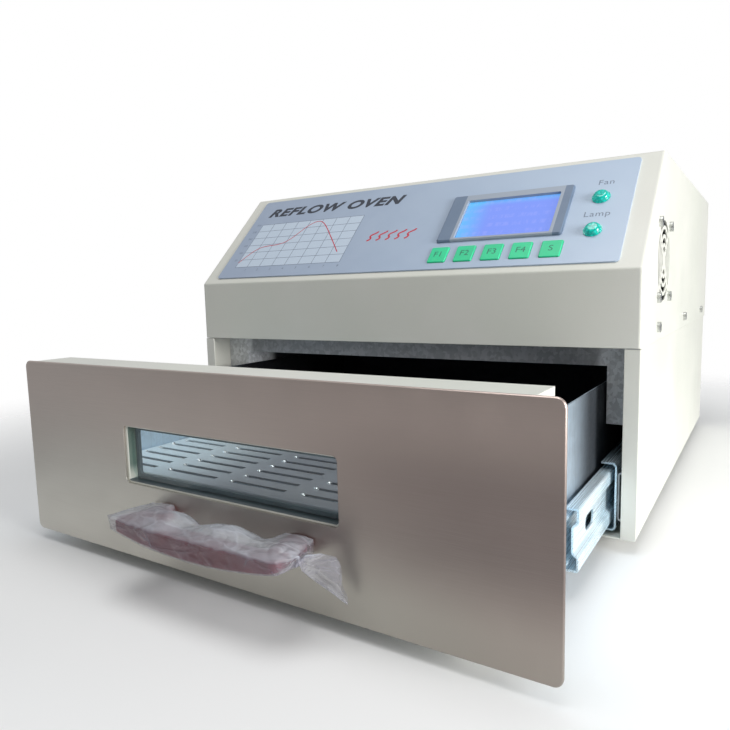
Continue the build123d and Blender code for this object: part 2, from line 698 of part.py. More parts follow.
with BuildPart() as drawer_box:
    box_between(-BOX_HALF, BOX_HALF, out(BOX_FRONT), out(BOX_REAR), up(BOX_BOTTOM), up(BOX_TOP))
    fillet(drawer_box.edges().filter_by(Axis.Y).group_by(Axis.Z)[0], radius=1.5)
    offset(amount=-SHEET, openings=[drawer_box.faces().sort_by(Axis.Z)[-1]])
    with BuildSketch(wall(out(BOX_FRONT) - 1)):
        with Locations((0, up((VIEW_BOTTOM + VIEW_TOP) / 2))):
            RectangleRounded(2 * VIEW_HALF, VIEW_TOP - VIEW_BOTTOM, 6)
    extrude(amount=-3, mode=Mode.SUBTRACT)
    with BuildSketch(profile(-BOX_HALF - 1)):
        with Locations(*[(out(depth), up(SLIDE_HEIGHT)) for depth in SLIDE_SCREW_DEPTHS]):
            Circle(CLEAR_RADIUS)
    extrude(amount=2 * BOX_HALF + 2, mode=Mode.SUBTRACT)
    with BuildSketch(Plane.XY.offset(up(BOX_BOTTOM - 1))):
        with Locations((0, out(190))):
            with GridLocations(40, 26, 6, 9):
                SlotOverall(24, 6)
    extrude(amount=4, mode=Mode.SUBTRACT)
drawer_box.part.label = "drawer_box"
export_step(drawer_box.part, "parts/drawer_box.step")

TRAY_TOP = 43.0
TRAY_HALF = 155.3
TRAY_FRONT = BOX_FRONT + SHEET + 0.6
TRAY_REAR = TRAY_FRONT + 320.0
TRAY_RIM = 11.0
SLOT_LENGTH = 43.0
SLOT_WIDTH = 4.0
SLOT_COLUMNS = [-126.7 + 57.4 * i for i in range(5)]
SLOT_ROWS = [39.0 + 13.0 * i for i in range(23)]

with BuildPart() as tray:
    box_between(-TRAY_HALF, TRAY_HALF, out(TRAY_FRONT), out(TRAY_REAR), up(TRAY_TOP - TRAY_RIM), up(TRAY_TOP))
    fillet(tray.edges().group_by(Axis.Z)[-1], radius=1.5)
    offset(amount=-SHEET, openings=[tray.faces().sort_by(Axis.Z)[0]])
    with BuildSketch(Plane.XY.offset(up(TRAY_TOP + 1))):
        with Locations(*[(x, out(depth)) for x in SLOT_COLUMNS for depth in SLOT_ROWS]):
            Rectangle(SLOT_LENGTH, SLOT_WIDTH)
    extrude(amount=-3, mode=Mode.SUBTRACT)
tray.part.label = "tray"
export_step(tray.part, "parts/tray.step")

with BuildPart() as tray_ledges:
    for sign in (-1, 1):
        x0, x1 = sorted((sign * (BOX_HALF - SHEET - 0.1), sign * (BOX_HALF - SHEET - 1.1)))
        box_between(x0, x1, out(BOX_FRONT + 3), out(BOX_REAR - 3), up(LEDGE_HEIGHT), up(LEDGE_HEIGHT + 9))
        x0, x1 = sorted((sign * (BOX_HALF - SHEET - 0.1), sign * (BOX_HALF - SHEET - 13)))
        box_between(x0, x1, out(BOX_FRONT + 3), out(BOX_REAR - 3), up(LEDGE_HEIGHT - 1), up(LEDGE_HEIGHT))
tray_ledges.part.label = "tray_ledges"
export_step(tray_ledges.part, "parts/tray_ledges.step")

# ================================================================ drawer slides
SLIDE_FRONT = 6.0
SLIDE_LENGTH = 350.0
MIDDLE_LENGTH = 340.0
INNER_FRONT = 1.0
INNER_LENGTH = 344.0
CAGE_FRONT = 100.0
CAGE_LENGTH = 100.0
BALL_RADIUS = 1.6
BALL_PITCH = 12.0
BALL_ROW = [CAGE_FRONT + 8 + BALL_PITCH * i for i in range(8)]
MIDDLE_PROFILE = [
    (161.0, 17.8),
    (168.2, 17.8),
    (168.2, 9.5),
    (165.4, 7.0),
    (165.4, -7.0),
    (168.2, -9.5),
    (168.2, -17.8),
    (161.0, -17.8),
]
BRACKET_INNER = 171.3
BRACKET_OUTER = BASE_HALF - SHEET - 0.1
SLIDE_BOLT_DEPTHS = [13.0, 215.0, 330.0]  # clear of the stretch that the ball cages sweep


def channel(x_open, x_web, half_height, thickness, radius, sign):
    """The cross-section of a slide's C-shaped member, on the right or (sign -1) the left."""
    points = [
        (sign * x_open, up(SLIDE_HEIGHT + half_height)),
        (sign * x_web, up(SLIDE_HEIGHT + half_height)),
        (sign * x_web, up(SLIDE_HEIGHT - half_height)),
        (sign * x_open, up(SLIDE_HEIGHT - half_height)),
    ]
    turns_right = (x_web > x_open) == (sign > 0)
    bent_sheet(points, thickness, radius, Side.RIGHT if turns_right else Side.LEFT)


for sign, hand in ((-1, "left"), (1, "right")):
    with BuildPart() as slide_outer:
        with BuildSketch(wall(back(SLIDE_FRONT))):
            channel(161.5, 171.2, 22.5, 1.3, 3.2, sign)
        extrude(amount=-SLIDE_LENGTH)
        with BuildSketch(profile(0)):
            with Locations(*[(back(depth), up(SLIDE_HEIGHT)) for depth in SLIDE_BOLT_DEPTHS]):
                Circle(CLEAR_RADIUS)
        extrude(amount=sign * 180, mode=Mode.SUBTRACT)
    slide_outer.part.label = f"slide_outer_{hand}"
    export_step(slide_outer.part, f"parts/slide_outer_{hand}.step")

    with BuildPart() as slide_middle:
        with BuildSketch(wall(back(SLIDE_FRONT - DRAWER_REST / 2))):
            bent_sheet(
                [(sign * x, up(SLIDE_HEIGHT + z)) for x, z in MIDDLE_PROFILE],
                1.2,
                1.6,
                Side.RIGHT if sign > 0 else Side.LEFT,
            )
        extrude(amount=-MIDDLE_LENGTH)
        with BuildSketch(profile(0)):
            with Locations((back(SLIDE_FRONT + 36 - DRAWER_REST / 2), up(SLIDE_HEIGHT))):
                SlotOverall(20, 9)
        extrude(amount=sign * 180, mode=Mode.SUBTRACT)
    slide_middle.part.label = f"slide_middle_{hand}"
    export_step(slide_middle.part, f"parts/slide_middle_{hand}.step")

    with BuildPart() as slide_inner:
        with BuildSketch(wall(out(INNER_FRONT))):
            channel(163.0, 158.6, 13.2, 1.2, 2.0, sign)
        extrude(amount=-INNER_LENGTH)
        with BuildSketch(profile(0)):
            with Locations(*[(out(depth), up(SLIDE_HEIGHT)) for depth in SLIDE_SCREW_DEPTHS]):
                Circle(CLEAR_RADIUS)
        extrude(amount=sign * 180, mode=Mode.SUBTRACT)
    slide_inner.part.label = f"slide_inner_{hand}"
    export_step(slide_inner.part, f"parts/slide_inner_{hand}.step")

    for cage_name, x_open, x_web, half_height, ball_x, ball_z, share in (
        ("outer", 162.5, 169.4, 19.9, 165.3, 19.5, 0.25),
        ("inner", 159.5, 163.9, 15.25, 161.3, 14.9, 0.75),
    ):
        shift = back(-DRAWER_REST * share)
        with BuildPart() as ball_cage:
            with BuildSketch(wall(shift + CAGE_FRONT)):
                channel(x_open, x_web, half_height, 0.7, 1.3, sign)
            extrude(amount=-CAGE_LENGTH)
            with BuildSketch(Plane.XY.offset(up(SLIDE_HEIGHT - half_height - 1))):
                with Locations(*[(sign * ball_x, shift + y) for y in BALL_ROW]):
                    Circle(BALL_RADIUS + 0.06)
            extrude(amount=2 * half_height + 2, mode=Mode.SUBTRACT)
            with Locations(
                *[
                    (sign * ball_x, shift + y, up(SLIDE_HEIGHT + level))
                    for y in BALL_ROW
                    for level in (-ball_z, ball_z)
                ]
            ):
                Sphere(BALL_RADIUS)
        ball_cage.part.label = f"ball_cage_{cage_name}_{hand}"
        export_step(ball_cage.part, f"parts/ball_cage_{cage_name}_{hand}.step")

with BuildPart() as slide_brackets:
    for sign in (-1, 1):
        with BuildSketch(wall(back(SLIDE_FRONT + 2))):
            channel(BRACKET_OUTER, BRACKET_INNER, 16, 1.2, 2.0, sign)
        extrude(amount=-(SLIDE_LENGTH - 4))
    with BuildSketch(profile(-HALF_WIDTH)):
        with Locations(*[(back(depth), up(SLIDE_HEIGHT)) for depth in SLIDE_BOLT_DEPTHS]):
            Circle(CLEAR_RADIUS)
    extrude(amount=CASE_WIDTH, mode=Mode.SUBTRACT)
slide_brackets.part.label = "slide_brackets"
export_step(slide_brackets.part, "parts/slide_brackets.step")

INNER_SCREW_SEAT = 159.8  # inside face of the inner member's web
OUTER_SCREW_SEAT = 169.9  # inside face of the outer member's web

with BuildPart() as slide_screws:
    for sign in (-1, 1):
        seat = Plane(origin=(sign * OUTER_SCREW_SEAT, 0, 0), x_dir=(0, -sign, 0), z_dir=(-sign, 0, 0))
        centres = [(-sign * back(depth), up(SLIDE_HEIGHT)) for depth in SLIDE_BOLT_DEPTHS]
        screws(seat, centres, 5, head_radius=3.4, head_height=0.5)
slide_screws.part.label = "slide_screws"
export_step(slide_screws.part, "parts/slide_screws.step")

with BuildPart() as drawer_screws:
    for sign in (-1, 1):
        seat = Plane(origin=(sign * INNER_SCREW_SEAT, 0, 0), x_dir=(0, sign, 0), z_dir=(sign, 0, 0))
        centres = [(sign * out(depth), up(SLIDE_HEIGHT)) for depth in SLIDE_SCREW_DEPTHS]
        screws(seat, centres, 4.5, head_radius=3.4, head_height=1.4)
    screws(INSIDE_PAN, [(-x, z) for x, z in HANDLE_SCREWS], 10)
drawer_screws.part.label = "drawer_screws"
export_step(drawer_screws.part, "parts/drawer_screws.step")

# ================================================================ control panel
KEY_GAP = 0.2
KEY_SEAT = 0.6  # underside of a key's cap above the panel
KEY_RISE = 0.9  # how far a key's cap stands proud of the panel's overlay
BOARD_DEPTH = 14.0
BOARD_THICKNESS = 1.6
BOARD_CENTRE = (97.0, 38.0)
BOARD_SIZE = (136.0, 76.0)
SWITCH_HEIGHT = 3.4
STANDOFF_CENTRES = [(BOARD_CENTRE[0] + u * 64, BOARD_CENTRE[1] + v * 33.5) for u in (-1, 1) for v in (-1, 1)]

# the power board stands upright inside the rear panel
POWER_BOARD_Y = REAR_PANEL_Y - 9.0
POWER_BOARD_CENTRE = (116.0, up(78))
POWER_BOARD_SIZE = (86.0, 96.0)
POWER_STANDOFFS = [
    (POWER_BOARD_CENTRE[0] + u * 38, POWER_BOARD_CENTRE[1] + v * 43) for u in (-1, 1) for v in (-1, 1)
]

with BuildPart() as control_overlay:
    with BuildSketch(PANEL):
        with Locations(OVERLAY_CENTRE):
            RectangleRounded(*OVERLAY_SIZE, 3)
        with Locations(DISPLAY_CUT_CENTRE):
            Rectangle(*DISPLAY_CUT_SIZE, mode=Mode.SUBTRACT)
        with Locations(*KEY_CENTRES):
            RectangleRounded(KEY_SIZE[0] + 2 * KEY_GAP, KEY_SIZE[1] + 2 * KEY_GAP, 1.4, mode=Mode.SUBTRACT)
        with Locations(*LAMP_CENTRES):
            Circle(LAMP_HOLE_RADIUS, mode=Mode.SUBTRACT)
    extrude(amount=OVERLAY_THICKNESS)
control_overlay.part.label = "control_overlay"
export_step(control_overlay.part, "parts/control_overlay.step")

with BuildPart() as display_bezel:
    with BuildSketch(PANEL.offset(OVERLAY_THICKNESS)):
        with Locations(DISPLAY_CENTRE):
            RectangleRounded(*BEZEL_SIZE, 2)
    extrude(amount=2.0)
    chamfer(display_bezel.faces().sort_by(Axis((0, 0, 0), PANEL.z_dir))[-1].edges(), length=0.8)
    with BuildSketch(PANEL.offset(OVERLAY_THICKNESS)):
        with Locations(DISPLAY_CUT_CENTRE):
            Rectangle(DISPLAY_CUT_SIZE[0] - 0.4, DISPLAY_CUT_SIZE[1] - 0.4)
    extrude(amount=-OVERLAY_THICKNESS - 1.5)
    with BuildSketch(PANEL.offset(4)):
        with Locations(SCREEN_CENTRE):
            RectangleRounded(*SCREEN_SIZE, 1)
    extrude(amount=-8, mode=Mode.SUBTRACT)
display_bezel.part.label = "display_bezel"
export_step(display_bezel.part, "parts/display_bezel.step")

with BuildPart() as lcd_screen:
    with BuildSketch(PANEL.offset(1.2)):
        with Locations(SCREEN_CENTRE):
            RectangleRounded(SCREEN_SIZE[0] - 0.6, SCREEN_SIZE[1] - 0.6, 0.8)
    extrude(amount=-3.2)
lcd_screen.part.label = "lcd_screen"
export_step(lcd_screen.part, "parts/lcd_screen.step")

with BuildPart() as lcd_module:
    with BuildSketch(PANEL.offset(-2.1)):
        with Locations(SCREEN_CENTRE):
            Rectangle(80, 46)
    extrude(amount=-6)
    with BuildSketch(PANEL.offset(-8.1)):
        with Locations(SCREEN_CENTRE):
            Rectangle(84, 52)
    extrude(amount=-1.6)
lcd_module.part.label = "lcd_module"
export_step(lcd_module.part, "parts/lcd_module.step")

for key_name, key_centre in zip(KEY_NAMES, KEY_CENTRES):
    with BuildPart() as key_cap:
        with BuildSketch(PANEL.offset(KEY_SEAT)):
            with Locations(key_centre):
                RectangleRounded(*KEY_SIZE, 1.2)
        extrude(amount=OVERLAY_THICKNESS + KEY_RISE - KEY_SEAT)
        fillet(key_cap.faces().sort_by(Axis((0, 0, 0), PANEL.z_dir))[-1].edges(), radius=0.6)
        with BuildSketch(PANEL.offset(KEY_SEAT)):
            with Locations(key_centre):
                Circle(3.2)
        extrude(amount=-(KEY_SEAT + BOARD_DEPTH - SWITCH_HEIGHT - KEY_TRAVEL - 0.1))
    key_cap.part.label = key_name
    export_step(key_cap.part, f"parts/{key_name}.step")

with BuildPart() as indicator_lamps:
    with BuildSketch(PANEL.offset(OVERLAY_THICKNESS)):
        with Locations(*LAMP_CENTRES):
            Circle(6)
    extrude(amount=0.8)
    with BuildSketch(PANEL.offset(OVERLAY_THICKNESS + 0.8)):
        with Locations(*LAMP_CENTRES):
            Circle(5.4)
    extrude(amount=3.0, taper=14)
    dome_edges = indicator_lamps.edges().filter_by(GeomType.CIRCLE)
    fillet(dome_edges.group_by(Axis((0, 0, 0), PANEL.z_dir))[-1], radius=2.4)
    with BuildSketch(PANEL.offset(OVERLAY_THICKNESS)):
        with Locations(*LAMP_CENTRES):
            Circle(LAMP_HOLE_RADIUS - 0.15)
    extrude(amount=-9)
indicator_lamps.part.label = "indicator_lamps"
export_step(indicator_lamps.part, "parts/indicator_lamps.step")

with BuildPart() as control_board:
    with BuildSketch(PANEL.offset(-BOARD_DEPTH)):
        with Locations(BOARD_CENTRE):
            RectangleRounded(*BOARD_SIZE, 2)
        with Locations(*STANDOFF_CENTRES):
            Circle(1.6, mode=Mode.SUBTRACT)
    extrude(amount=-BOARD_THICKNESS)
control_board.part.label = "control_board"
export_step(control_board.part, "parts/control_board.step")

with BuildPart() as board_components:
    with BuildSketch(PANEL.offset(-BOARD_DEPTH)):
        with Locations(*KEY_CENTRES):
            Rectangle(6, 6)
    extrude(amount=SWITCH_HEIGHT - 1)
    with BuildSketch(PANEL.offset(-BOARD_DEPTH)):
        with Locations(*KEY_CENTRES):
            Circle(1.8)
    extrude(amount=SWITCH_HEIGHT)
    with BuildSketch(PANEL.offset(-BOARD_DEPTH)):
        with Locations(*LAMP_CENTRES):
            Circle(2.5)
    extrude(amount=4.5)
    with BuildSketch(PANEL.offset(-BOARD_DEPTH - BOARD_THICKNESS)):
        with Locations((70, 34)):
            Rectangle(14, 14)
        with Locations((104, 30)):
            Rectangle(20, 8)
        with Locations((128, 56)):
            Rectangle(9, 22)
        with Locations((96, 60), (84, 60)):
            Circle(4)
    extrude(amount=-5)
    with BuildSketch(wall(POWER_BOARD_Y)):
        with Locations((POWER_BOARD_CENTRE[0] - 22, POWER_BOARD_CENTRE[1] - 20)):
            Rectangle(16, 30)
        with Locations((POWER_BOARD_CENTRE[0] + 2, POWER_BOARD_CENTRE[1] - 20)):
            Rectangle(16, 30)
        with Locations((POWER_BOARD_CENTRE[0] + 26, POWER_BOARD_CENTRE[1] - 24)):
            Rectangle(12, 22)
        with Locations((POWER_BOARD_CENTRE[0] - 24, POWER_BOARD_CENTRE[1] + 16)):
            Circle(8)
    extrude(amount=18)
board_components.part.label = "board_components"
export_step(board_components.part, "parts/board_components.step")

with BuildPart() as board_standoffs:
    with BuildSketch(PANEL.offset(-SHEET)):
        with Locations(*STANDOFF_CENTRES):
            RegularPolygon(3, 6)
    extrude(amount=-(BOARD_DEPTH - SHEET))
    with BuildSketch(PANEL.offset(-BOARD_DEPTH)):
        with Locations(*STANDOFF_CENTRES):
            Circle(1.5)
    extrude(amount=-BOARD_THICKNESS - 0.5)
    with BuildSketch(PANEL.offset(-BOARD_DEPTH - BOARD_THICKNESS)):
        with Locations(*STANDOFF_CENTRES):
            Circle(2.8)
    extrude(amount=-1.8)
    with BuildSketch(wall(POWER_BOARD_Y + 1.6)):
        with Locations(*POWER_STANDOFFS):
            RegularPolygon(3, 6)
    extrude(amount=-(REAR_PANEL_Y - POWER_BOARD_Y - 1.6))
    with BuildSketch(wall(POWER_BOARD_Y - 0.4)):
        with Locations(*POWER_STANDOFFS):
            Circle(1.5)
    extrude(amount=-2)
    with BuildSketch(wall(POWER_BOARD_Y)):
        with Locations(*POWER_STANDOFFS):
            Circle(2.8)
    extrude(amount=1.8)
board_standoffs.part.label = "board_standoffs"
export_step(board_standoffs.part, "parts/board_standoffs.step")

# ================================================================ fans
FAN_SHAFT_RADIUS = 1.5
FAN_SHAFT_GAP = 0.05
BLADE_PITCH = 40.0


def fan_frame_body(plane, size, depth, pitch, boss_radius):
    """A square fan's frame, its back in the plane: a ring, three struts, a motor boss and its shaft."""
    with BuildSketch(plane) as outline:
        RectangleRounded(size, size, 3)
        Circle(size / 2 - 1.5, mode=Mode.SUBTRACT)
        with GridLocations(pitch, pitch, 2, 2):
            Circle(CLEAR_RADIUS, mode=Mode.SUBTRACT)
    extrude(outline.sketch, amount=depth)
    with BuildSketch(plane) as struts:
        Circle(boss_radius)
        for angle in (90, 210, 330):
            with PolarLocations(size / 4, 1, start_angle=angle):
                Rectangle(size / 2, 3)
        Circle(size / 2 + 1, mode=Mode.INTERSECT)
    extrude(struts.sketch, amount=3)
    with BuildSketch(plane) as shaft:
        Circle(FAN_SHAFT_RADIUS)
    extrude(shaft.sketch, amount=depth - 3)


def fan_rotor_body(plane, size, depth, hub_radius, blades):
    """A fan's rotor: a hub cup with pitched blades, turning on the frame's shaft."""
    blade_length = size / 2 - 3 - hub_radius
    chord = 0.8 * depth
    with BuildSketch(plane.offset(3.6)) as hub:
        Circle(hub_radius)
    extrude(hub.sketch, amount=depth - 5.2)
    for i in range(blades):
        root = plane.offset(depth / 2 + 1).location * Rotation(0, 0, 360 * i / blades)
        with BuildSketch(Plane(root * Location((hub_radius - 1, 0, 0), (0, 90, 0)))) as blade:
            Rectangle(1.2, chord, rotation=BLADE_PITCH)
        extrude(blade.sketch, amount=blade_length + 1)
    with BuildSketch(plane) as bore:
        Circle(FAN_SHAFT_RADIUS + FAN_SHAFT_GAP)
    extrude(bore.sketch, amount=depth + 1, mode=Mode.SUBTRACT)


side_fan_back = Plane(
    origin=(HALF_WIDTH - SHEET - 0.1 - SIDE_FAN_DEPTH, *SIDE_FAN_CENTRE), x_dir=(0, 1, 0), z_dir=(1, 0, 0)
)
rear_fan_back = Plane(
    origin=(REAR_FAN_CENTRE[0], REAR_PANEL_Y - 0.1 - REAR_FAN_DEPTH, REAR_FAN_CENTRE[1]),
    x_dir=(-1, 0, 0),
    z_dir=(0, 1, 0),
)

with BuildPart() as side_fan_frame:
    fan_frame_body(side_fan_back, SIDE_FAN_SIZE, SIDE_FAN_DEPTH, SIDE_FAN_PITCH, 13)
side_fan_frame.part.label = "side_fan_frame"
export_step(side_fan_frame.part, "parts/side_fan_frame.step")

with BuildPart() as side_fan_rotor:
    fan_rotor_body(side_fan_back, SIDE_FAN_SIZE, SIDE_FAN_DEPTH, 13, 7)
side_fan_rotor.part.label = "side_fan_rotor"
export_step(side_fan_rotor.part, "parts/side_fan_rotor.step")

with BuildPart() as rear_fan_frame:
    fan_frame_body(rear_fan_back, REAR_FAN_SIZE, REAR_FAN_DEPTH, REAR_FAN_PITCH, 31)
rear_fan_frame.part.label = "rear_fan_frame"
export_step(rear_fan_frame.part, "parts/rear_fan_frame.step")

with BuildPart() as rear_fan_rotor:
    fan_rotor_body(rear_fan_back, REAR_FAN_SIZE, REAR_FAN_DEPTH, 31, 7)
rear_fan_rotor.part.label = "rear_fan_rotor"
export_step(rear_fan_rotor.part, "parts/rear_fan_rotor.step")

# ================================================================ mains side
REAR_FACE_Y = REAR_PANEL_Y + SHEET


def rear_face(centre):
    """A plane on the outside of the rear panel, its normal pointing out of it."""
    return Plane(origin=(centre[0], REAR_FACE_Y, centre[1]), x_dir=(-1, 0, 0), z_dir=(0, 1, 0))


inlet_face = rear_face(INLET_CENTRE)
SOCKET_RISE = 9.0
FUSE_DROP = -16.0
FUSE_SIZE = (22.0, 9.0)
FUSE_DEPTH = 20.0

with BuildPart() as mains_inlet:
    with BuildSketch(inlet_face):
        RectangleRounded(32, 60, 2)
    extrude(amount=2.4)
    with BuildSketch(inlet_face):
        Rectangle(INLET_CUT[0] - 0.4, INLET_CUT[1] - 0.4)
    extrude(amount=-28)
    with BuildSketch(inlet_face.offset(2.4)):
        with Locations((0, SOCKET_RISE)):
            Rectangle(24.4, 16.6)
    extrude(amount=-20, mode=Mode.SUBTRACT)
    with BuildSketch(inlet_face.offset(2.4)):
        with Locations((0, FUSE_DROP)):
            Rectangle(FUSE_SIZE[0] + 0.3, FUSE_SIZE[1] + 0.3)
    extrude(amount=-FUSE_DEPTH - 0.3, mode=Mode.SUBTRACT)
    with BuildSketch(inlet_face.offset(-17.6)):
        with Locations((-7, SOCKET_RISE - 2), (7, SOCKET_RISE - 2), (0, SOCKET_RISE + 3)):
            Rectangle(2.2, 4.2, mode=Mode.ADD)
    extrude(amount=-12, mode=Mode.SUBTRACT)
mains_inlet.part.label = "mains_inlet"
export_step(mains_inlet.part, "parts/mains_inlet.step")

with BuildPart() as inlet_blades:
    with BuildSketch(inlet_face.offset(-36)):
        with Locations((-7, SOCKET_RISE - 2), (7, SOCKET_RISE - 2), (0, SOCKET_RISE + 3)):
            Rectangle(2, 4)
    extrude(amount=35)
inlet_blades.part.label = "inlet_blades"
export_step(inlet_blades.part, "parts/inlet_blades.step")

with BuildPart() as fuse_drawer:
    with BuildSketch(inlet_face.offset(2.4)):
        with Locations((0, FUSE_DROP)):
            Rectangle(*FUSE_SIZE)
    extrude(amount=-FUSE_DEPTH)
    with BuildSketch(inlet_face.offset(2.4)):
        with Locations((0, FUSE_DROP)):
            RectangleRounded(8, 5, 1)
    extrude(amount=1.2)
    with BuildSketch(inlet_face.offset(1)):
        with Locations((0, FUSE_DROP + 3)):
            Rectangle(19, 4)
    extrude(amount=-16, mode=Mode.SUBTRACT)
fuse_drawer.part.label = "fuse_drawer"
export_step(fuse_drawer.part, "parts/fuse_drawer.step")

ROCKER_RADIUS = 11.6
ROCKER_SWING = 16.0
ROCKER_FACE = 1.4  # the pressed-in flat's height above the pivot
ROCKER_WIDTH = 13.4
switch_face = rear_face(SWITCH_CENTRE)
SWITCH_AXIS_Y = REAR_FACE_Y + 0.6

with BuildPart() as power_switch_body:
    with BuildSketch(switch_face):
        RectangleRounded(22, 31, 1.5)
    extrude(amount=1.8)
    with BuildSketch(switch_face):
        Rectangle(SWITCH_CUT[0] - 0.4, SWITCH_CUT[1] - 0.4)
    extrude(amount=-22)
    with BuildSketch(profile(SWITCH_CENTRE[0])):
        with Locations((SWITCH_AXIS_Y, SWITCH_CENTRE[1])):
            Circle(ROCKER_RADIUS + 0.25)
    extrude(amount=ROCKER_WIDTH / 2 + 0.25, both=True, mode=Mode.SUBTRACT)
    with BuildSketch(switch_face.offset(-22)):
        with Locations((0, 8), (0, -8)):
            Rectangle(6.3, 0.8)
    extrude(amount=-9)
power_switch_body.part.label = "power_switch_body"
export_step(power_switch_body.part, "parts/power_switch_body.step")

with BuildPart() as power_switch_rocker:
    with BuildSketch(profile(SWITCH_CENTRE[0])):
        with Locations((SWITCH_AXIS_Y, SWITCH_CENTRE[1])):
            Circle(ROCKER_RADIUS)
    extrude(amount=ROCKER_WIDTH / 2, both=True)
    # two flats that meet in a shallow V make the face; the upper one is pressed in at rest
    with BuildSketch(profile(SWITCH_CENTRE[0])):
        with BuildLine():
            Polyline(
                (SWITCH_AXIS_Y + ROCKER_FACE, SWITCH_CENTRE[1]),
                (SWITCH_AXIS_Y + ROCKER_FACE, SWITCH_CENTRE[1] + 13),
                (SWITCH_AXIS_Y + 16, SWITCH_CENTRE[1] + 13),
                (SWITCH_AXIS_Y + 16, SWITCH_CENTRE[1] - 13),
                (SWITCH_AXIS_Y + ROCKER_FACE + 13 * tan(radians(ROCKER_SWING)), SWITCH_CENTRE[1] - 13),
                close=True,
            )
        make_face()
    extrude(amount=ROCKER_WIDTH, both=True, mode=Mode.SUBTRACT)
power_switch_rocker.part.label = "power_switch_rocker"
export_step(power_switch_rocker.part, "parts/power_switch_rocker.step")

with BuildPart() as power_board:
    with BuildSketch(wall(POWER_BOARD_Y)):
        with Locations(POWER_BOARD_CENTRE):
            RectangleRounded(*POWER_BOARD_SIZE, 2)
        with Locations(*POWER_STANDOFFS):
            Circle(1.6, mode=Mode.SUBTRACT)
    extrude(amount=-1.6)
power_board.part.label = "power_board"
export_step(power_board.part, "parts/power_board.step")

with BuildPart() as transformer:
    with BuildSketch(wall(POWER_BOARD_Y)):
        with Locations((POWER_BOARD_CENTRE[0] + 14, POWER_BOARD_CENTRE[1] + 20)):
            Rectangle(42, 34)
    extrude(amount=14)
    with BuildSketch(wall(POWER_BOARD_Y - 14)):
        with Locations((POWER_BOARD_CENTRE[0] + 14, POWER_BOARD_CENTRE[1] + 20)):
            RectangleRounded(30, 30, 3)
    extrude(amount=11)
transformer.part.label = "transformer"
export_step(transformer.part, "parts/transformer.step")

# ================================================================ wiring
WIRE_RADIUS = 1.3
BUS_X = 171.0
POWER_WIRE_Y = 417.6  # where wires meet the power board
wire_routes = [
    # the heaters' feed along each side of the chamber, then back to the power board
    [
        (BUS_X, 74, 128),
        (BUS_X, 180, 128),
        (BUS_X, 300, 128),
        (168, 388, 128),
        (150, 412, 122),
        (142, POWER_WIRE_Y, 120.5),
    ],
    [
        (-BUS_X, 74, 128),
        (-BUS_X, 180, 128),
        (-BUS_X, 300, 128),
        (-166, 384, 140),
        (-120, 392, 192),
        (0, 398, 200),
        (80, 402, 180),
        (104, 412, 124),
        (104, POWER_WIRE_Y, 114),
    ],
    # mains: inlet to switch, switch to power board, inlet to power board
    [(-131, 391.6, 55), (-128, 384, 52), (-112, 382, 48), (-98, 388, 44), (-98, 396.6, 40)],
    [
        (-98, 396.6, 56),
        (-92, 386, 40),
        (-70, 380, 26),
        (0, 380, 22),
        (70, 386, 26),
        (84, 404, 34),
        (86, POWER_WIRE_Y, 36),
    ],
    [
        (-145, 391.6, 55),
        (-146, 384, 40),
        (-120, 380, 18),
        (0, 378, 14),
        (80, 384, 18),
        (95, 404, 32),
        (96, POWER_WIRE_Y, 36),
    ],
    # fan leads
    [(60.8, 400, 110), (66, 400, 112), (78, 406, 116), (84, POWER_WIRE_Y, 118)],
    [
        (167.2, 82, 190),
        (160, 96, 214),
        (150, 200, 222),
        (146, 360, 222),
        (140, 410, 160),
        (134, POWER_WIRE_Y, 122),
    ],
]

with BuildPart() as wiring:
    for route in wire_routes:
        corners = [Vector(x, back(y), up(z)) for x, y, z in route]
        for start, end in zip(corners, corners[1:]):
            with BuildSketch(Plane(origin=start, z_dir=end - start)):
                Circle(WIRE_RADIUS)
            extrude(amount=(end - start).length)
        with Locations(*corners[1:-1]):
            Sphere(WIRE_RADIUS)
wiring.part.label = "wiring"
export_step(wiring.part, "parts/wiring.step")
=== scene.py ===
"""Looks for the bench-top reflow oven: finishes, the handle's film, the panel's print and the light."""

import math

import bpy
from mathutils import Matrix, Vector, noise


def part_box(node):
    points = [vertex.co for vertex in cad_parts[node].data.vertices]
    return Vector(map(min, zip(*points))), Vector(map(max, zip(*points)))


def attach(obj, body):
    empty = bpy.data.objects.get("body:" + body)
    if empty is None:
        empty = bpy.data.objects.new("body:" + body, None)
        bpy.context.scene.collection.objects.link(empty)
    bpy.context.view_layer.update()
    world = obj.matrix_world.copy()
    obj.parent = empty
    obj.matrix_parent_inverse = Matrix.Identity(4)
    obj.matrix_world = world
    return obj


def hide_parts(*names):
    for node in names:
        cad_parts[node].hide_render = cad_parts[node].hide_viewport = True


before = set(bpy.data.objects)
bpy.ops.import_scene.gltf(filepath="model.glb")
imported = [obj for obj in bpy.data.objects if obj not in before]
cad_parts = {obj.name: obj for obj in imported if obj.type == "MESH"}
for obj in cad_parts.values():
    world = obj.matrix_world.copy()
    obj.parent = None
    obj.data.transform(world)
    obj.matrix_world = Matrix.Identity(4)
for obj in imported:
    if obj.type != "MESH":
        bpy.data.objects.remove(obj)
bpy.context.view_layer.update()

MM = 0.001


# ---------------------------------------------------------------- places taken from the frame
CASE_LOW, CASE_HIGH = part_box("hood_cover")
FRONT = CASE_LOW.y  # the case's front face
FOLD = CASE_HIGH.z - 81 * MM  # where the upright fascia turns into the sloping panel
SLOPE = math.radians(45)
ALONG = Vector((0, math.cos(SLOPE), math.sin(SLOPE)))  # up the panel
OUTWARD = Vector((0, -math.sin(SLOPE), math.cos(SLOPE)))  # out of the panel
PANEL_ORIGIN = Vector((0, FRONT, FOLD))


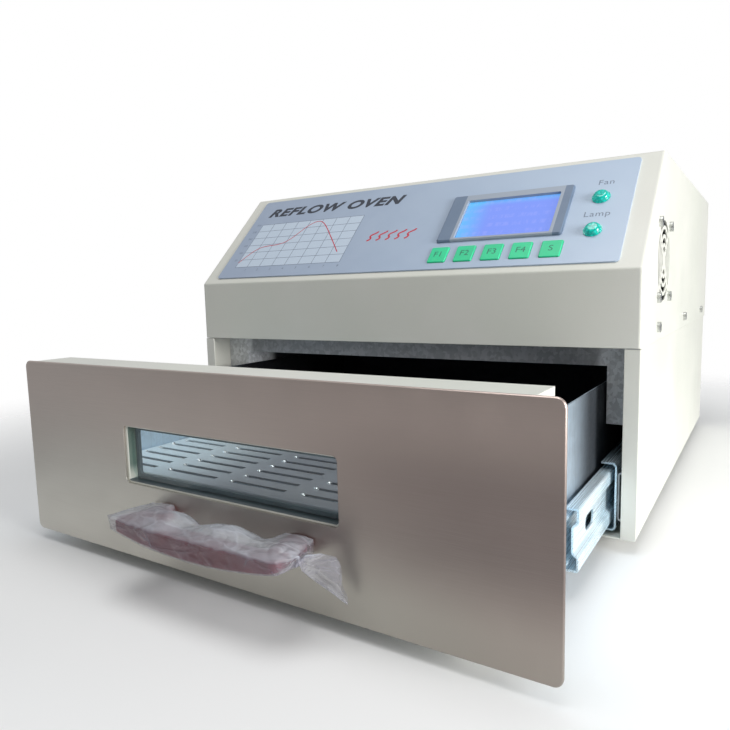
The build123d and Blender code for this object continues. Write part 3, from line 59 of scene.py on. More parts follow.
def farthest(node, direction, origin):
    """How far a CAD node reaches in a direction from a point."""
    return max((v.co - origin).dot(direction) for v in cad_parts[node].data.vertices)


def panel_point(x, s, height):
    """The point that far right of the panel's middle, that far up its slope and that far above it."""
    return PANEL_ORIGIN + Vector((x, 0, 0)) + ALONG * s + OUTWARD * height


# ---------------------------------------------------------------- node trees
def screen_colour(red, green, blue):
    """A screen colour, each part from 0 to 255, as the linear colour that nodes use."""
    parts = [c / 255 for c in (red, green, blue)]
    return tuple(((c + 0.055) / 1.055) ** 2.4 if c > 0.04 else c / 12.92 for c in parts) + (1.0,)


class Finish:
    """One material's node tree, with short calls for the nodes it is made of."""

    def __init__(self, name, **settings):
        self.material = bpy.data.materials.new(name + "_finish")
        self.material.use_nodes = True
        self.nodes = self.material.node_tree.nodes
        self.links = self.material.node_tree.links
        self.shader = self.nodes["Principled BSDF"]
        self.end = self.nodes["Material Output"].inputs["Surface"]
        self.place = self.nodes.new("ShaderNodeTexCoord").outputs["Object"]
        self.set(**settings)

    def feed(self, socket, value):
        if isinstance(value, bpy.types.NodeSocket):
            self.links.new(value, socket)
        else:
            socket.default_value = value

    def add(self, kind, inputs, **settings):
        node = self.nodes.new(kind)
        for key, value in settings.items():
            setattr(node, key, value)
        for key, value in inputs.items():
            self.feed(node.inputs[key], value)
        return node

    def set(self, **inputs):
        """Sets inputs of the principled shader, named in lower case with underscores."""
        for key, value in inputs.items():
            self.feed(self.shader.inputs[key.replace("_", " ").title().replace("Ior", "IOR")], value)

    def stretch(self, x, y, z):
        """The place, scaled per axis, so that a pattern is drawn out along the smallest."""
        return self.add("ShaderNodeMapping", {"Vector": self.place, "Scale": (x, y, z)}).outputs[0]

    def axis(self, letter):
        """One coordinate of the place, in metres."""
        return self.add("ShaderNodeSeparateXYZ", {"Vector": self.place}).outputs[letter]

    def grain(self, scale, detail=3.0, distortion=0.0, place=None):
        inputs = {"Scale": scale, "Detail": detail, "Distortion": distortion, "Vector": place or self.place}
        return self.add("ShaderNodeTexNoise", inputs).outputs["Fac"]

    def cells(self, scale, output="Color", feature="F1", place=None):
        inputs = {"Scale": scale, "Vector": place or self.place}
        return self.add("ShaderNodeTexVoronoi", inputs, feature=feature).outputs[output]

    def remap(self, value, low, high, to_low=0.0, to_high=1.0):
        inputs = {0: value, 1: low, 2: high, 3: to_low, 4: to_high}
        return self.add("ShaderNodeMapRange", inputs, interpolation_type="SMOOTHSTEP").outputs[0]

    def mix(self, factor, first, second):
        inputs = {0: factor, 6: first, 7: second}
        return self.add("ShaderNodeMix", inputs, data_type="RGBA").outputs[2]

    def sum(self, operation, first, second=0.0):
        return self.add("ShaderNodeMath", {0: first, 1: second}, operation=operation).outputs[0]

    def between(self, letter, low, high):
        """1 where a coordinate of the place lies between two values."""
        value = self.axis(letter)
        inside = self.sum("GREATER_THAN", value, low)
        return self.sum("MULTIPLY", inside, self.sum("LESS_THAN", value, high))

    def facing(self, letter):
        """One part of the surface's own direction."""
        normal = self.nodes.new("ShaderNodeNewGeometry").outputs["True Normal"]
        return self.add("ShaderNodeSeparateXYZ", {"Vector": normal}).outputs[letter]

    def front_side(self):
        """1 where the surface is seen from outside and 0 from behind."""
        behind = self.nodes.new("ShaderNodeNewGeometry").outputs["Backfacing"]
        return self.sum("SUBTRACT", 1.0, behind)

    def vector(self, operation, inputs):
        return self.add("ShaderNodeVectorMath", inputs, operation=operation).outputs[0]

    def warp(self, amount, scale):
        """The place, pushed about by noise, so that cells lose their straight sides."""
        inputs = {"Scale": scale, "Detail": 3.0, "Vector": self.place}
        push = self.add("ShaderNodeTexNoise", inputs).outputs["Color"]
        middle = self.vector("SUBTRACT", {0: push, 1: (0.5, 0.5, 0.5)})
        scaled = self.vector("SCALE", {0: middle, "Scale": amount})
        return self.vector("ADD", {0: self.place, 1: scaled})

    def soft_edges(self, radius):
        """Normals that round the sheet's sharp edges."""
        return self.add("ShaderNodeBevel", {"Radius": radius}, samples=4).outputs[0]

    def bump(self, height, depth, strength=1.0, normal=None):
        inputs = {"Height": height, "Distance": depth, "Strength": strength}
        if normal is not None:
            inputs["Normal"] = normal
        return self.add("ShaderNodeBump", inputs).outputs[0]


# ---------------------------------------------------------------- finishes
def cream_paint():
    """Fine textured powder coat, darker on the sill of the window's reveal, with painted shade on its jamb.
    """
    f = Finish("cream_paint")
    shade = f.remap(f.grain(9, 4), 0.3, 0.7)
    base = f.mix(shade, screen_colour(219, 220, 210), screen_colour(225, 224, 216))
    speck = f.remap(f.grain(1900, 2), 0.62, 0.72)
    base = f.mix(f.sum("MULTIPLY", speck, 0.25), base, screen_colour(196, 194, 184))
    base = f.mix(window_sill(f), base, screen_colour(84, 92, 96))
    # painted shade on the jamb of the window's reveal, greenish grey
    base = f.mix(window_jamb(f), base, screen_colour(112, 130, 121))
    rough = f.remap(f.grain(24, 4), 0.25, 0.75, 0.36, 0.5)
    texture = f.bump(f.grain(1300, 3), 0.00006, 0.55, f.soft_edges(0.0007))
    f.set(base_color=base, roughness=rough, normal=f.bump(f.grain(210, 2), 0.0002, 0.25, texture))
    f.set(specular_ior_level=0.5, coat_weight=0.12, coat_roughness=0.3)
    return f


def window_sill(f):
    """1 on the ledge under the window pane, 0 elsewhere."""
    low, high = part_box("window_glass")
    upward = f.sum("GREATER_THAN", f.facing("Z"), 0.5)
    level = f.sum("MULTIPLY", f.between("Z", low.z - 4 * MM, low.z + 2 * MM), upward)
    return f.sum("MULTIPLY", level, f.between("Y", low.y - 12 * MM, high.y + 12 * MM))


def window_jamb(f):
    """Painted shade: 1 on the reveal's upright wall at the window's left, fading towards its foot."""
    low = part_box("window_glass")[0]
    beside = f.between("X", low.x - 3 * MM, low.x + 2 * MM)
    behind = f.between("Y", low.y - 2 * MM, 0)
    wall = f.sum("MULTIPLY", beside, behind)
    wall = f.sum("MULTIPLY", wall, f.sum("GREATER_THAN", f.facing("X"), 0.5))
    return f.sum("MULTIPLY", wall, f.remap(f.axis("Z"), low.z + 2 * MM, low.z + 10 * MM, 0.2, 1.0))


def brushed_plate():
    """Satin nickel-toned face plate, brushed across, with painted reflections: warmer at its top and its
    right, paler at its left and top, and darker half-way up at its right.
    """
    f = Finish("brushed_plate", metallic=1.0)
    across, upwards = f.axis("X"), f.axis("Z")
    low, high = FOLD - 170 * MM, FOLD - 45 * MM
    # painted reflection: a warm tint towards the top and the right, with random tone
    painted_warm_reflection = f.sum("ADD", f.remap(upwards, low, high), f.remap(across, -0.02, 0.2, 0.0, 0.6))
    painted_warm_reflection = f.remap(f.sum("ADD", painted_warm_reflection, f.sum("MULTIPLY", f.grain(6, 3), 0.5)), 0.2, 1.55)
    base = f.mix(painted_warm_reflection, screen_colour(166, 165, 156), screen_colour(170, 151, 145))
    # painted light: paler towards the left
    base = f.mix(f.remap(across, -0.17, 0.17, 0.45, 0.0), base, screen_colour(244, 240, 232))
    # painted light: paler towards the top
    upper = f.remap(upwards, FOLD - 125 * MM, FOLD - 60 * MM, 0.0, 0.5)
    base = f.mix(upper, base, screen_colour(250, 232, 222))
    # a painted dark reflection half-way up at the right
    middle = f.sum("MULTIPLY", f.remap(upwards, 0.02, 0.06), f.remap(upwards, 0.08, 0.125, 1.0, 0.0))
    right = f.sum("MULTIPLY", middle, f.remap(across, 0.0, 0.15, 0.0, 0.62))
    base = f.mix(right, base, screen_colour(112, 103, 101))
    lines = f.grain(1.0, 5, place=f.stretch(40, 2500, 7000))
    base = f.mix(f.remap(lines, 0.3, 0.75, 0.0, 0.14), base, screen_colour(188, 180, 174))
    smudge = f.remap(f.grain(22, 5, 0.6), 0.35, 0.75)
    rough = f.sum("ADD", f.remap(lines, 0.2, 0.8, 0.34, 0.44), f.sum("MULTIPLY", smudge, 0.07))
    f.set(base_color=base, roughness=rough)
    f.set(normal=f.bump(lines, 0.00001, 0.25, f.soft_edges(0.0006)))
    return f


def galvanised(name="galvanised", tone=(196, 200, 203), contrast=1.0, painted_shade_mask=None, metallic=0.75):
    """Zinc-coated sheet with crystal spangle and rolling streaks, with near-black painted shade where the
    given mask says so.
    """
    f = Finish(name, metallic=metallic)
    spangle = f.cells(340, "Color", place=f.warp(0.003, 300))
    bright = f.add("ShaderNodeSeparateColor", {0: spangle}).outputs[0]
    streak = f.grain(1.0, 4, place=f.stretch(420, 420, 22))
    light = screen_colour(*tone)
    dark = screen_colour(*(0.86 * c for c in tone))
    base = f.mix(f.remap(bright, 0.1, 0.95, 1 - contrast, 1.0), dark, light)
    base = f.mix(f.remap(streak, 0.5, 0.8, 0.0, 0.35), base, screen_colour(*(0.72 * c for c in tone)))
    rough = f.sum("ADD", f.remap(bright, 0, 1, 0.28, 0.38), f.remap(f.grain(60, 4), 0.4, 0.8, 0.0, 0.14))
    if painted_shade_mask is not None:
        # painted shade: near black and rougher where the mask says so
        share = painted_shade_mask(f)
        base = f.mix(share, base, (0.010, 0.010, 0.013, 1))
        rough = f.sum("ADD", rough, f.sum("MULTIPLY", share, 0.35))
    f.set(base_color=base, roughness=rough, normal=f.bump(bright, 0.00002, 0.35, f.soft_edges(0.0004)))
    return f


def behind_chamber_front(f):
    """Painted shade: 1 inside the chamber, 0 on its front frame's uprights and a half on the header."""
    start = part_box("chamber_shell")[0].y + 29 * MM
    upright = 152 * MM  # from the middle to the uprights
    header = f.remap(f.sum("ABSOLUTE", f.axis("X")), upright, upright + 5 * MM, 0.5, 0.0)
    return f.sum("MAXIMUM", header, f.remap(f.axis("Y"), start, start + 12 * MM))


def baked_drawer(f):
    """Painted shade on the drawer where it runs into the case: none at its front, rising towards its rear.
    """
    low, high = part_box("drawer_box")
    front, side = low.y, high.x
    reach = f.sum("ABSOLUTE", f.axis("X"))
    inner = f.remap(reach, side - 0.6 * MM, side - 0.3 * MM, 1.0, 0.0)
    inner = f.sum("MULTIPLY", inner, f.remap(f.axis("Y"), front + 60 * MM, front + 170 * MM))
    outer = f.sum("MULTIPLY", f.remap(reach, side - 0.3 * MM, side - 0.1 * MM), 0.94)
    outer = f.sum("MULTIPLY", outer, f.remap(f.axis("Y"), front + 52 * MM, front + 132 * MM))
    return f.sum("MAXIMUM", inner, outer)


def zinc_slide():
    """Blue-passivated zinc on drawn steel: fine lines along the slide and a faint bloom of colour."""
    f = Finish("zinc_slide", metallic=0.5)
    bloom = f.remap(f.grain(28, 4, 0.8), 0.3, 0.7)
    base = f.mix(bloom, screen_colour(200, 230, 246), screen_colour(230, 244, 252))
    yellow = f.remap(f.grain(14, 3, place=f.stretch(1, 0.5, 2.2)), 0.6, 0.78, 0.0, 0.35)
    base = f.mix(yellow, base, screen_colour(222, 222, 206))
    lines = f.grain(1.0, 4, place=f.stretch(1700, 10, 1700))
    rough = f.sum("ADD", f.remap(lines, 0.25, 0.75, 0.16, 0.3), f.remap(bloom, 0, 1, 0.0, 0.06))
    f.set(base_color=base, roughness=rough, anisotropic=0.5)
    f.set(normal=f.bump(lines, 0.00002, 0.4, f.soft_edges(0.0004)))
    return f


def polished(name, tone, rough, grain_scale=500, grease=0.0):
    """Bright metal with fine wear; grease darkens its hollows where there is any."""
    f = Finish(name, metallic=1.0)
    wear = f.remap(f.grain(grain_scale, 4, 0.4), 0.35, 0.7)
    dull = screen_colour(*(0.72 * c for c in tone))
    base = f.mix(f.sum("MULTIPLY", wear, 0.4), screen_colour(*tone), dull)
    if grease:
        film = f.remap(f.grain(120, 3, 1.0), 0.45, 0.6, 0.0, grease)
        base = f.mix(film, base, screen_colour(66, 60, 48))
    f.set(base_color=base, roughness=f.remap(wear, 0, 1, rough, rough + 0.14))
    f.set(normal=f.bump(f.grain(grain_scale * 2, 2), 0.00003, 0.3))
    return f


def reflector_metal():
    """Bright aluminium sheet with a hammered figure, browned over the lamps."""
    f = Finish("reflector_metal", metallic=1.0)
    dimples = f.cells(150, "Distance", "SMOOTH_F1")
    tarnish = f.remap(f.grain(13, 4), 0.45, 0.75, 0.0, 0.6)
    base = f.mix(tarnish, screen_colour(222, 222, 218), screen_colour(186, 160, 128))
    f.set(base_color=base, roughness=0.17, normal=f.bump(dimples, 0.0006, 0.6))
    return f


def quartz():
    """Milky quartz tube, drawn lengthways."""
    f = Finish("quartz", roughness=0.12, ior=1.46, transmission_weight=0.75)
    haze = f.remap(f.grain(1.0, 3, place=f.stretch(12, 400, 400)), 0.3, 0.7)
    f.set(base_color=f.mix(haze, screen_colour(236, 240, 240), screen_colour(252, 252, 250)))
    f.set(roughness=f.remap(haze, 0, 1, 0.1, 0.35))
    return f


def window_pane():
    """Thin float glass: clear from ahead, mirror-like at a glancing look, faintly green throughout."""
    f = Finish("window_pane")
    clear = f.add("ShaderNodeBsdfTransparent", {"Color": screen_colour(244, 249, 249)}).outputs[0]
    smear = f.grain(26, 4, 1.2)
    rough = f.remap(smear, 0.4, 0.75, 0.02, 0.16)
    mirror = f.add("ShaderNodeBsdfGlossy", {"Color": (1, 1, 1, 1), "Roughness": rough}).outputs[0]
    edge_on = f.add("ShaderNodeFresnel", {"IOR": 1.5}).outputs[0]
    share = f.sum("MULTIPLY", f.sum("MINIMUM", edge_on, 0.5), f.front_side())
    f.feed(f.end, f.add("ShaderNodeMixShader", {0: share, 1: clear, 2: mirror}).outputs[0])
    return f


def filament_wire():
    """Oxidised resistance wire, wound in a close coil."""
    f = Finish("filament_wire", metallic=0.85)
    wave = {"Scale": 420.0, "Distortion": 0.4, "Vector": f.place}
    turns = f.add("ShaderNodeTexWave", wave).outputs["Fac"]
    f.set(base_color=f.mix(turns, screen_colour(58, 48, 44), screen_colour(140, 118, 104)), roughness=0.45)
    f.set(normal=f.bump(turns, 0.0004))
    return f


def moulded(name, tone, rough=0.45, texture=1400, depth=0.00004, lighter=1.12):
    """Moulded plastic or rubber: a fine spark texture, flow marks and slightly uneven sheen."""
    f = Finish(name)
    flow = f.remap(f.grain(30, 3, 0.5), 0.3, 0.7)
    light = screen_colour(*(min(255, lighter * c) for c in tone))
    f.set(base_color=f.mix(flow, screen_colour(*tone), light))
    f.set(roughness=f.remap(f.grain(90, 4), 0.3, 0.7, rough - 0.05, rough + 0.09))
    f.set(normal=f.bump(f.grain(texture, 3), depth, 0.6, f.soft_edges(0.0004)))
    return f


def ceramic_white():
    """Unglazed steatite with iron specks."""
    f = Finish("ceramic_white", roughness=0.62)
    specks = f.remap(f.grain(900, 2), 0.68, 0.74)
    f.set(base_color=f.mix(specks, screen_colour(226, 221, 208), screen_colour(150, 120, 92)))
    f.set(normal=f.bump(f.grain(700, 4), 0.0001, 0.6))
    return f


def insulation_wool():
    """Ceramic fibre blanket: matted threads in soft tufts."""
    f = Finish("insulation_wool", roughness=0.95, sheen_weight=0.5)
    threads = f.grain(1.0, 6, 2.0, f.stretch(500, 260, 160))
    tufts = f.grain(70, 5, 0.8)
    shade = f.remap(threads, 0.3, 0.7)
    f.set(base_color=f.mix(shade, screen_colour(198, 192, 180), screen_colour(244, 241, 234)))
    f.set(normal=f.bump(f.sum("ADD", threads, tufts), 0.0018, 0.8))
    return f


def handle_red():
    """Glossy dark red moulded plastic."""
    f = moulded("handle_red", (104, 36, 46), 0.3, 900, 0.00003, 1.18)
    f.set(coat_weight=0.35, coat_roughness=0.12)
    return f


def tray_steel():
    """Bright rolled steel, with painted shade darkening it to the right, fine scratches both ways and faint
    heat colours.
    """
    f = Finish("tray_steel", metallic=0.4)
    along = f.grain(1.0, 5, place=f.stretch(900, 12, 900))
    across = f.grain(1.0, 5, place=f.stretch(16, 1100, 900))
    scratches = f.sum("MAXIMUM", along, across)
    heat = f.remap(f.grain(9, 4, 0.6), 0.5, 0.8, 0.0, 0.3)
    # painted shade: darker towards the right
    dull = f.remap(f.axis("X"), -0.13, -0.02)
    steel_with_painted_shade = f.mix(dull, screen_colour(240, 249, 255), screen_colour(160, 162, 172))
    base = f.mix(heat, steel_with_painted_shade, screen_colour(172, 162, 150))
    rough = f.remap(scratches, 0.4, 0.8, 0.34, 0.5)
    f.set(base_color=base, roughness=rough, normal=f.bump(scratches, 0.00002, 0.5, f.soft_edges(0.0003)))
    return f


def overlay_film():
    """Printed polycarbonate panel skin, grey-blue and deepening towards its left, with a velvet texture."""
    f = Finish("overlay_film", coat_weight=0.35, coat_roughness=0.22)
    left = f.remap(f.axis("X"), -0.17, 0.17)
    base = f.mix(left, screen_colour(160, 174, 196), screen_colour(176, 194, 216))
    base = f.mix(f.remap(f.grain(40, 3), 0.3, 0.7, 0.0, 0.12), base, screen_colour(196, 210, 226))
    f.set(base_color=base, roughness=f.remap(f.grain(60, 3), 0.3, 0.7, 0.36, 0.46))
    f.set(normal=f.bump(f.cells(1700, "Distance"), 0.00003, 0.35, f.soft_edges(0.0003)))
    return f


def bezel_grey():
    """The display frame: blue-grey side cheeks and a paler lip beside the screen."""
    f = moulded("bezel_grey", (120, 138, 160), 0.4, 1500)
    low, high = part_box("lcd_screen")
    centre = (low.x + high.x) / 2
    reach = f.sum("ABSOLUTE", f.sum("SUBTRACT", f.axis("X"), centre))
    half = (high.x - low.x) / 2
    cheek = f.remap(reach, half + 2.4 * MM, half + 2.9 * MM)
    flow = f.remap(f.grain(30, 3, 0.5), 0.3, 0.7, 0.0, 0.2)
    cheeks = f.mix(flow, screen_colour(108, 126, 150), screen_colour(132, 150, 172))
    f.set(base_color=f.mix(cheek, screen_colour(160, 170, 184), cheeks))
    return f


def lcd_blue():
    """A lit violet-blue display, azure along its left and top, with faint rows of dots."""
    f = Finish("lcd_blue", roughness=0.14, coat_weight=0.5, coat_roughness=0.05)
    low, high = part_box("lcd_screen")
    across = f.remap(f.axis("X"), low.x, low.x + 22 * MM, 0.8, 0.0)
    up_left = f.sum("ADD", across, f.remap(f.axis("Z"), high.z - 5 * MM, high.z, 0.0, 0.6))
    azure = f.sum("MINIMUM", up_left, 1.0)
    glow = f.mix(azure, screen_colour(124, 150, 244), screen_colour(96, 190, 250))
    wave = {"Scale": 52.0, "Vector": f.place}
    rows = f.add("ShaderNodeTexWave", wave, bands_direction="Z").outputs["Fac"]
    smear = f.remap(f.grain(1.0, 3, place=f.stretch(420, 6, 200)), 0.42, 0.66)
    text = f.sum("MULTIPLY", f.remap(rows, 0.35, 0.75), smear)
    glow = f.mix(f.sum("MULTIPLY", text, 0.2), glow, screen_colour(176, 180, 250))
    dots = f.add("ShaderNodeTexChecker", {"Scale": 3600.0, "Vector": f.place}).outputs["Fac"]
    glow = f.mix(f.sum("MULTIPLY", dots, 0.06), glow, screen_colour(60, 70, 200))
    f.set(base_color=f.mix(0.65, glow, (0, 0, 0, 1)), emission_color=glow, emission_strength=0.78)
    return f


def key_green():
    """Soft mint silicone keys."""
    f = moulded("key_green", (44, 204, 146), 0.42, 1700, 0.00003, 1.08)
    f.set(subsurface_weight=0.15, subsurface_scale=0.002, coat_weight=0.15)
    return f


def lamp_green():
    """Glossy teal lamp lens with a cut pattern deep inside it."""
    f = Finish("lamp_green", roughness=0.1, ior=1.5, coat_weight=0.6, coat_roughness=0.03)
    facets = f.remap(f.cells(520, "Distance"), 0.1, 0.7)
    glow = f.mix(facets, screen_colour(16, 196, 178), screen_colour(0, 150, 138))
    f.set(base_color=glow, emission_color=glow, emission_strength=0.36)
    return f


def circuit_board():
    """Green solder mask with the tracks showing through and tinned pads."""
    f = Finish("board_green", coat_weight=0.5, coat_roughness=0.12)
    tracks = f.remap(f.cells(420, "Distance", "DISTANCE_TO_EDGE"), 0.03, 0.06)
    base = f.mix(tracks, screen_colour(52, 128, 80), screen_colour(28, 96, 60))
    pads = f.remap(f.cells(560, "Distance", "F1"), 0.12, 0.16)
    f.set(base_color=f.mix(pads, screen_colour(198, 196, 186), base), roughness=0.35)
    f.set(normal=f.bump(tracks, 0.00006, 0.7))
    return f


def wire_sleeve():
    """Glass-braid wire sleeve, cream with a red tracer."""
    f = Finish("wire_sleeve", roughness=0.7)
    braid = f.cells(1500, "Distance", "DISTANCE_TO_EDGE")
    tracer = f.remap(f.grain(90, 1), 0.56, 0.6)
    base = f.mix(tracer, screen_colour(222, 214, 194), screen_colour(170, 52, 42))
    f.set(base_color=base, normal=f.bump(f.remap(braid, 0.0, 0.2), 0.0003))
    return f


def clear_film():
    """Thin bag film: nearly clear where it is tight, milky where it is loose, with creases and glints."""
    f = Finish("clear_film")
    place = f.add("ShaderNodeMapping", {"Vector": f.warp(0.008, 70), "Scale": (0.45, 1.0, 1.0)}).outputs[0]
    creases = f.remap(f.cells(95, "Distance", "DISTANCE_TO_EDGE", place), 0.0, 0.1, 1.0, 0.0)
    haze = f.remap(f.grain(1.0, 4, 1.0, f.stretch(38, 90, 90)), 0.34, 0.72)
    low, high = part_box("drawer_handle")
    loose = f.remap(f.axis("Z"), high.z - 1.5 * MM, high.z + 1.2 * MM)
    tail = f.remap(f.axis("X"), high.x, high.x + 4 * MM)
    loose = f.sum("MAXIMUM", loose, f.sum("MULTIPLY", tail, 0.4))
    height = f.sum("ADD", f.sum("MULTIPLY", creases, 0.35), haze)
    normal = f.bump(height, 0.0011, 0.55)
    colour = f.mix(loose, screen_colour(182, 176, 190), screen_colour(216, 222, 232))
    inputs = {"Color": colour, "Normal": normal}
    milk = f.add("ShaderNodeBsdfDiffuse", inputs).outputs[0]
    through = f.add("ShaderNodeBsdfTranslucent", inputs).outputs[0]
    milk = f.add("ShaderNodeMixShader", {0: 0.4, 1: milk, 2: through}).outputs[0]
    clear = f.add("ShaderNodeBsdfTransparent", {"Color": (0.96, 0.96, 0.97, 1)}).outputs[0]
    glint = f.add("ShaderNodeBsdfGlossy", {"Roughness": 0.14, "Normal": normal}).outputs[0]
    thick = f.sum("ADD", f.sum("MULTIPLY", haze, 0.24), f.sum("MULTIPLY", creases, 0.12))
    thick = f.sum("ADD", thick, f.sum("ADD", f.sum("MULTIPLY", loose, 0.3), 0.12))
    body = f.add("ShaderNodeMixShader", {0: thick, 1: clear, 2: milk}).outputs[0]
    edge_on = f.add("ShaderNodeLayerWeight", {"Blend": 0.3, "Normal": normal}).outputs["Fresnel"]
    share = f.sum("MINIMUM", edge_on, 0.3)
    f.feed(f.end, f.add("ShaderNodeMixShader", {0: share, 1: body, 2: glint}).outputs[0])
    return f


def ink(name, tone, rough=0.5):
    """Screen-printed ink, very slightly uneven."""
    f = Finish(name, roughness=rough, coat_weight=0.2)
    patchy = f.remap(f.grain(1600, 3), 0.4, 0.75, 0.0, 0.3)
    f.set(base_color=f.mix(patchy, screen_colour(*tone), screen_colour(*(min(255, c + 26) for c in tone))))
    f.set(normal=f.bump(f.grain(2500, 2), 0.00002, 0.4))
    return f


FINISHES = {
    "cream_paint": cream_paint(),
    "brushed_plate": brushed_plate(),
    "galvanised": galvanised(),
    "zinc_slide": zinc_slide(),
    "bright_zinc": polished("bright_zinc", (205, 206, 208), 0.16, 700, 0.75),
    "screw_steel": polished("screw_steel", (206, 208, 206), 0.2),
    "reflector_metal": reflector_metal(),
    "quartz": quartz(),
    "window_pane": window_pane(),
    "filament_wire": filament_wire(),
    "ceramic_white": ceramic_white(),
    "insulation_wool": insulation_wool(),
    "probe_steel": polished("probe_steel", (180, 178, 172), 0.26, 1200),
    "handle_red": handle_red(),
    "clear_film": clear_film(),
    "tray_steel": tray_steel(),
    "overlay_film": overlay_film(),
    "bezel_grey": bezel_grey(),
    "lcd_blue": lcd_blue(),
    "lcd_frame": moulded("lcd_frame", (40, 44, 54), 0.35),
    "key_green": key_green(),
    "lamp_green": lamp_green(),
    "board_green": circuit_board(),
    "black_plastic": moulded("black_plastic", (26, 27, 32), 0.42, 1600, 0.00006, 1.5),
    "chip_black": moulded("chip_black", (34, 34, 36), 0.5, 900),
    "brass_metal": polished("brass_metal", (206, 178, 112), 0.22),
    "rubber_black": moulded("rubber_black", (30, 30, 31), 0.72, 1100, 0.0001, 1.5),
    "transformer_yellow": moulded("transformer_yellow", (206, 178, 62), 0.5, 300, 0.0002),
    "wire_sleeve": wire_sleeve(),
    "rocker_red": moulded("rocker_red", (186, 30, 28), 0.25, 700, 0.00002),
}
SPECIAL_FINISHES = {
    # the chamber's inside and its header are darkened with painted shade
    "chamber_shell": galvanised("chamber_sheet", (250, 252, 255), 0.9, behind_chamber_front, 0.15),
    "window_retainer": moulded("window_seal", (96, 108, 114), 0.5, 900),
    # the drawer is darkened with painted shade where it runs into the case
    "drawer_box": galvanised("drawer_sheet", (204, 222, 238), 0.35, baked_drawer, 0.6),
}

for node_name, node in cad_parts.items():
    for material_slot in node.material_slots:
        finish = SPECIAL_FINISHES.get(node_name) or FINISHES[material_slot.material.name]
        material_slot.material = finish.material


# ---------------------------------------------------------------- pieces
def add_piece(name, points, faces, finish, body, smooth=False):
    """A new mesh piece that rides on a CAD body."""
    mesh = bpy.data.meshes.new(name)
    mesh.from_pydata([tuple(p) for p in points], [], faces)
    mesh.update()
    if smooth:
        mesh.shade_smooth()
    mesh.materials.append(finish.material)
    piece = bpy.data.objects.new(name, mesh)
    bpy.context.scene.collection.objects.link(piece)
    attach(piece, body)
    return piece


def strip(points, width):
    """The two sides of a ribbon of one width that follows a line of (x, s) points."""
    left, right = [], []
    for i, point in enumerate(points):
        before, after = points[max(i - 1, 0)], points[min(i + 1, len(points) - 1)]
        run = Vector((after[0] - before[0], after[1] - before[1])).normalized()
        across = Vector((-run.y, run.x)) * width / 2
        left.append((point[0] + across.x, point[1] + across.y))
        right.append((point[0] - across.x, point[1] - across.y))
    return left, right


def print_lines(name, lines, width, height, finish):
    """Lines printed on the panel, each a list of (x, s) points in millimetres."""
    points, faces = [], []
    for line in lines:
        left, right = strip(line, width)
        start = len(points)
        points += [panel_point(x * MM, s * MM, height) for pair in zip(left, right) for x, s in pair]
        corners = range(start, start + 2 * len(line) - 2, 2)
        faces += [(i, i + 1, i + 3, i + 2) for i in corners]
    return add_piece(name, points, faces, finish, "case")


def letter_mesh(text, size, slant=0.0, weight=0.0, spacing=1.0, width=None):
    """Flat letters as (points, faces) about their centre, in metres, drawn out to a width if one is set."""
    curve = bpy.data.curves.new("letters", "FONT")
    curve.body = text
    curve.size = size
    curve.shear = slant
    curve.offset = weight
    curve.space_character = spacing
    curve.align_x = "CENTER"
    curve.align_y = "CENTER"
    curve.resolution_u = 4
    letters = bpy.data.objects.new("letters", curve)
    bpy.context.scene.collection.objects.link(letters)
    bpy.context.view_layer.update()
    mesh = bpy.data.meshes.new_from_object(letters.evaluated_get(bpy.context.evaluated_depsgraph_get()))
    points = [v.co.copy() for v in mesh.vertices]
    faces = [tuple(p.vertices) for p in mesh.polygons]
    bpy.data.objects.remove(letters)
    if width is not None:
        stretch = width / (max(p.x for p in points) - min(p.x for p in points))
        points = [Vector((p.x * stretch, p.y, p.z)) for p in points]
    return points, faces


def print_letters(name, labels, finish, height, body="case", slot="overlay_film", **style):
    """Printed labels: each is (text, x, s, size) in millimetres on the panel."""
    points, faces = [], []
    for text, x, s, size in labels:
        glyph_points, glyph_faces = letter_mesh(text, size * MM, **style)
        start = len(points)
        points += [panel_point(x * MM + p.x, s * MM + p.y, height) for p in glyph_points]
        faces += [tuple(start + i for i in face) for face in glyph_faces]
    return add_piece(name, points, faces, finish, body)


# the printed panel
PRINT_STEP = 0.03 * MM  # the ink's height above what it lies on
SKIN = farthest("control_overlay", OUTWARD, PANEL_ORIGIN) + PRINT_STEP
DARK_INK = ink("dark_ink", (44, 50, 64))
GREY_INK = ink("grey_ink", (112, 124, 146))
RED_INK = ink("red_ink", (198, 48, 66))
CHART_INK = ink("chart_ink", (196, 210, 226))
KEY_INK = ink("key_ink", (38, 118, 96))

# places on the panel are (x, s) in millimetres: right of its middle and up its slope
CHART_LEFT, CHART_RIGHT, CHART_LOW, CHART_HIGH = -156.0, -43.0, 18.5, 75.0
CHART_COLUMNS, CHART_ROWS = 8, 6
# the profile in shares of the chart: warm-up, soak, reflow peak and cooling
PROFILE = [
    (0.0, 0.1),
    (0.13, 0.42),
    (0.36, 0.52),
    (0.5, 0.86),
    (0.58, 0.96),
    (0.66, 0.88),
    (0.8, 0.55),
    (0.93, 0.22),
]
TITLE_PLACE, TITLE_SIZE, TITLE_WIDTH = (-85.0, 90.5), 14.5, 146.0
FAN_LABEL, LAMP_LABEL, LABEL_SIZE = (150.5, 84.5), (149.5, 51.5), 7.5
HEAT_LEFT, HEAT_LOW, HEAT_WAVES, HEAT_PITCH = -27.0, 41.5, 5, 8.6
KEY_LABELS = {"key_f1": "F1", "key_f2": "F2", "key_f3": "F3", "key_f4": "F4", "key_start": "S"}


def spline(t, a, b, c, d):
    """The Catmull-Rom value a share t of the way from b to c."""
    square, cube = 2 * a - 5 * b + 4 * c - d, 3 * b - a - 3 * c + d
    return 0.5 * (2 * b + (c - a) * t + square * t**2 + cube * t**3)


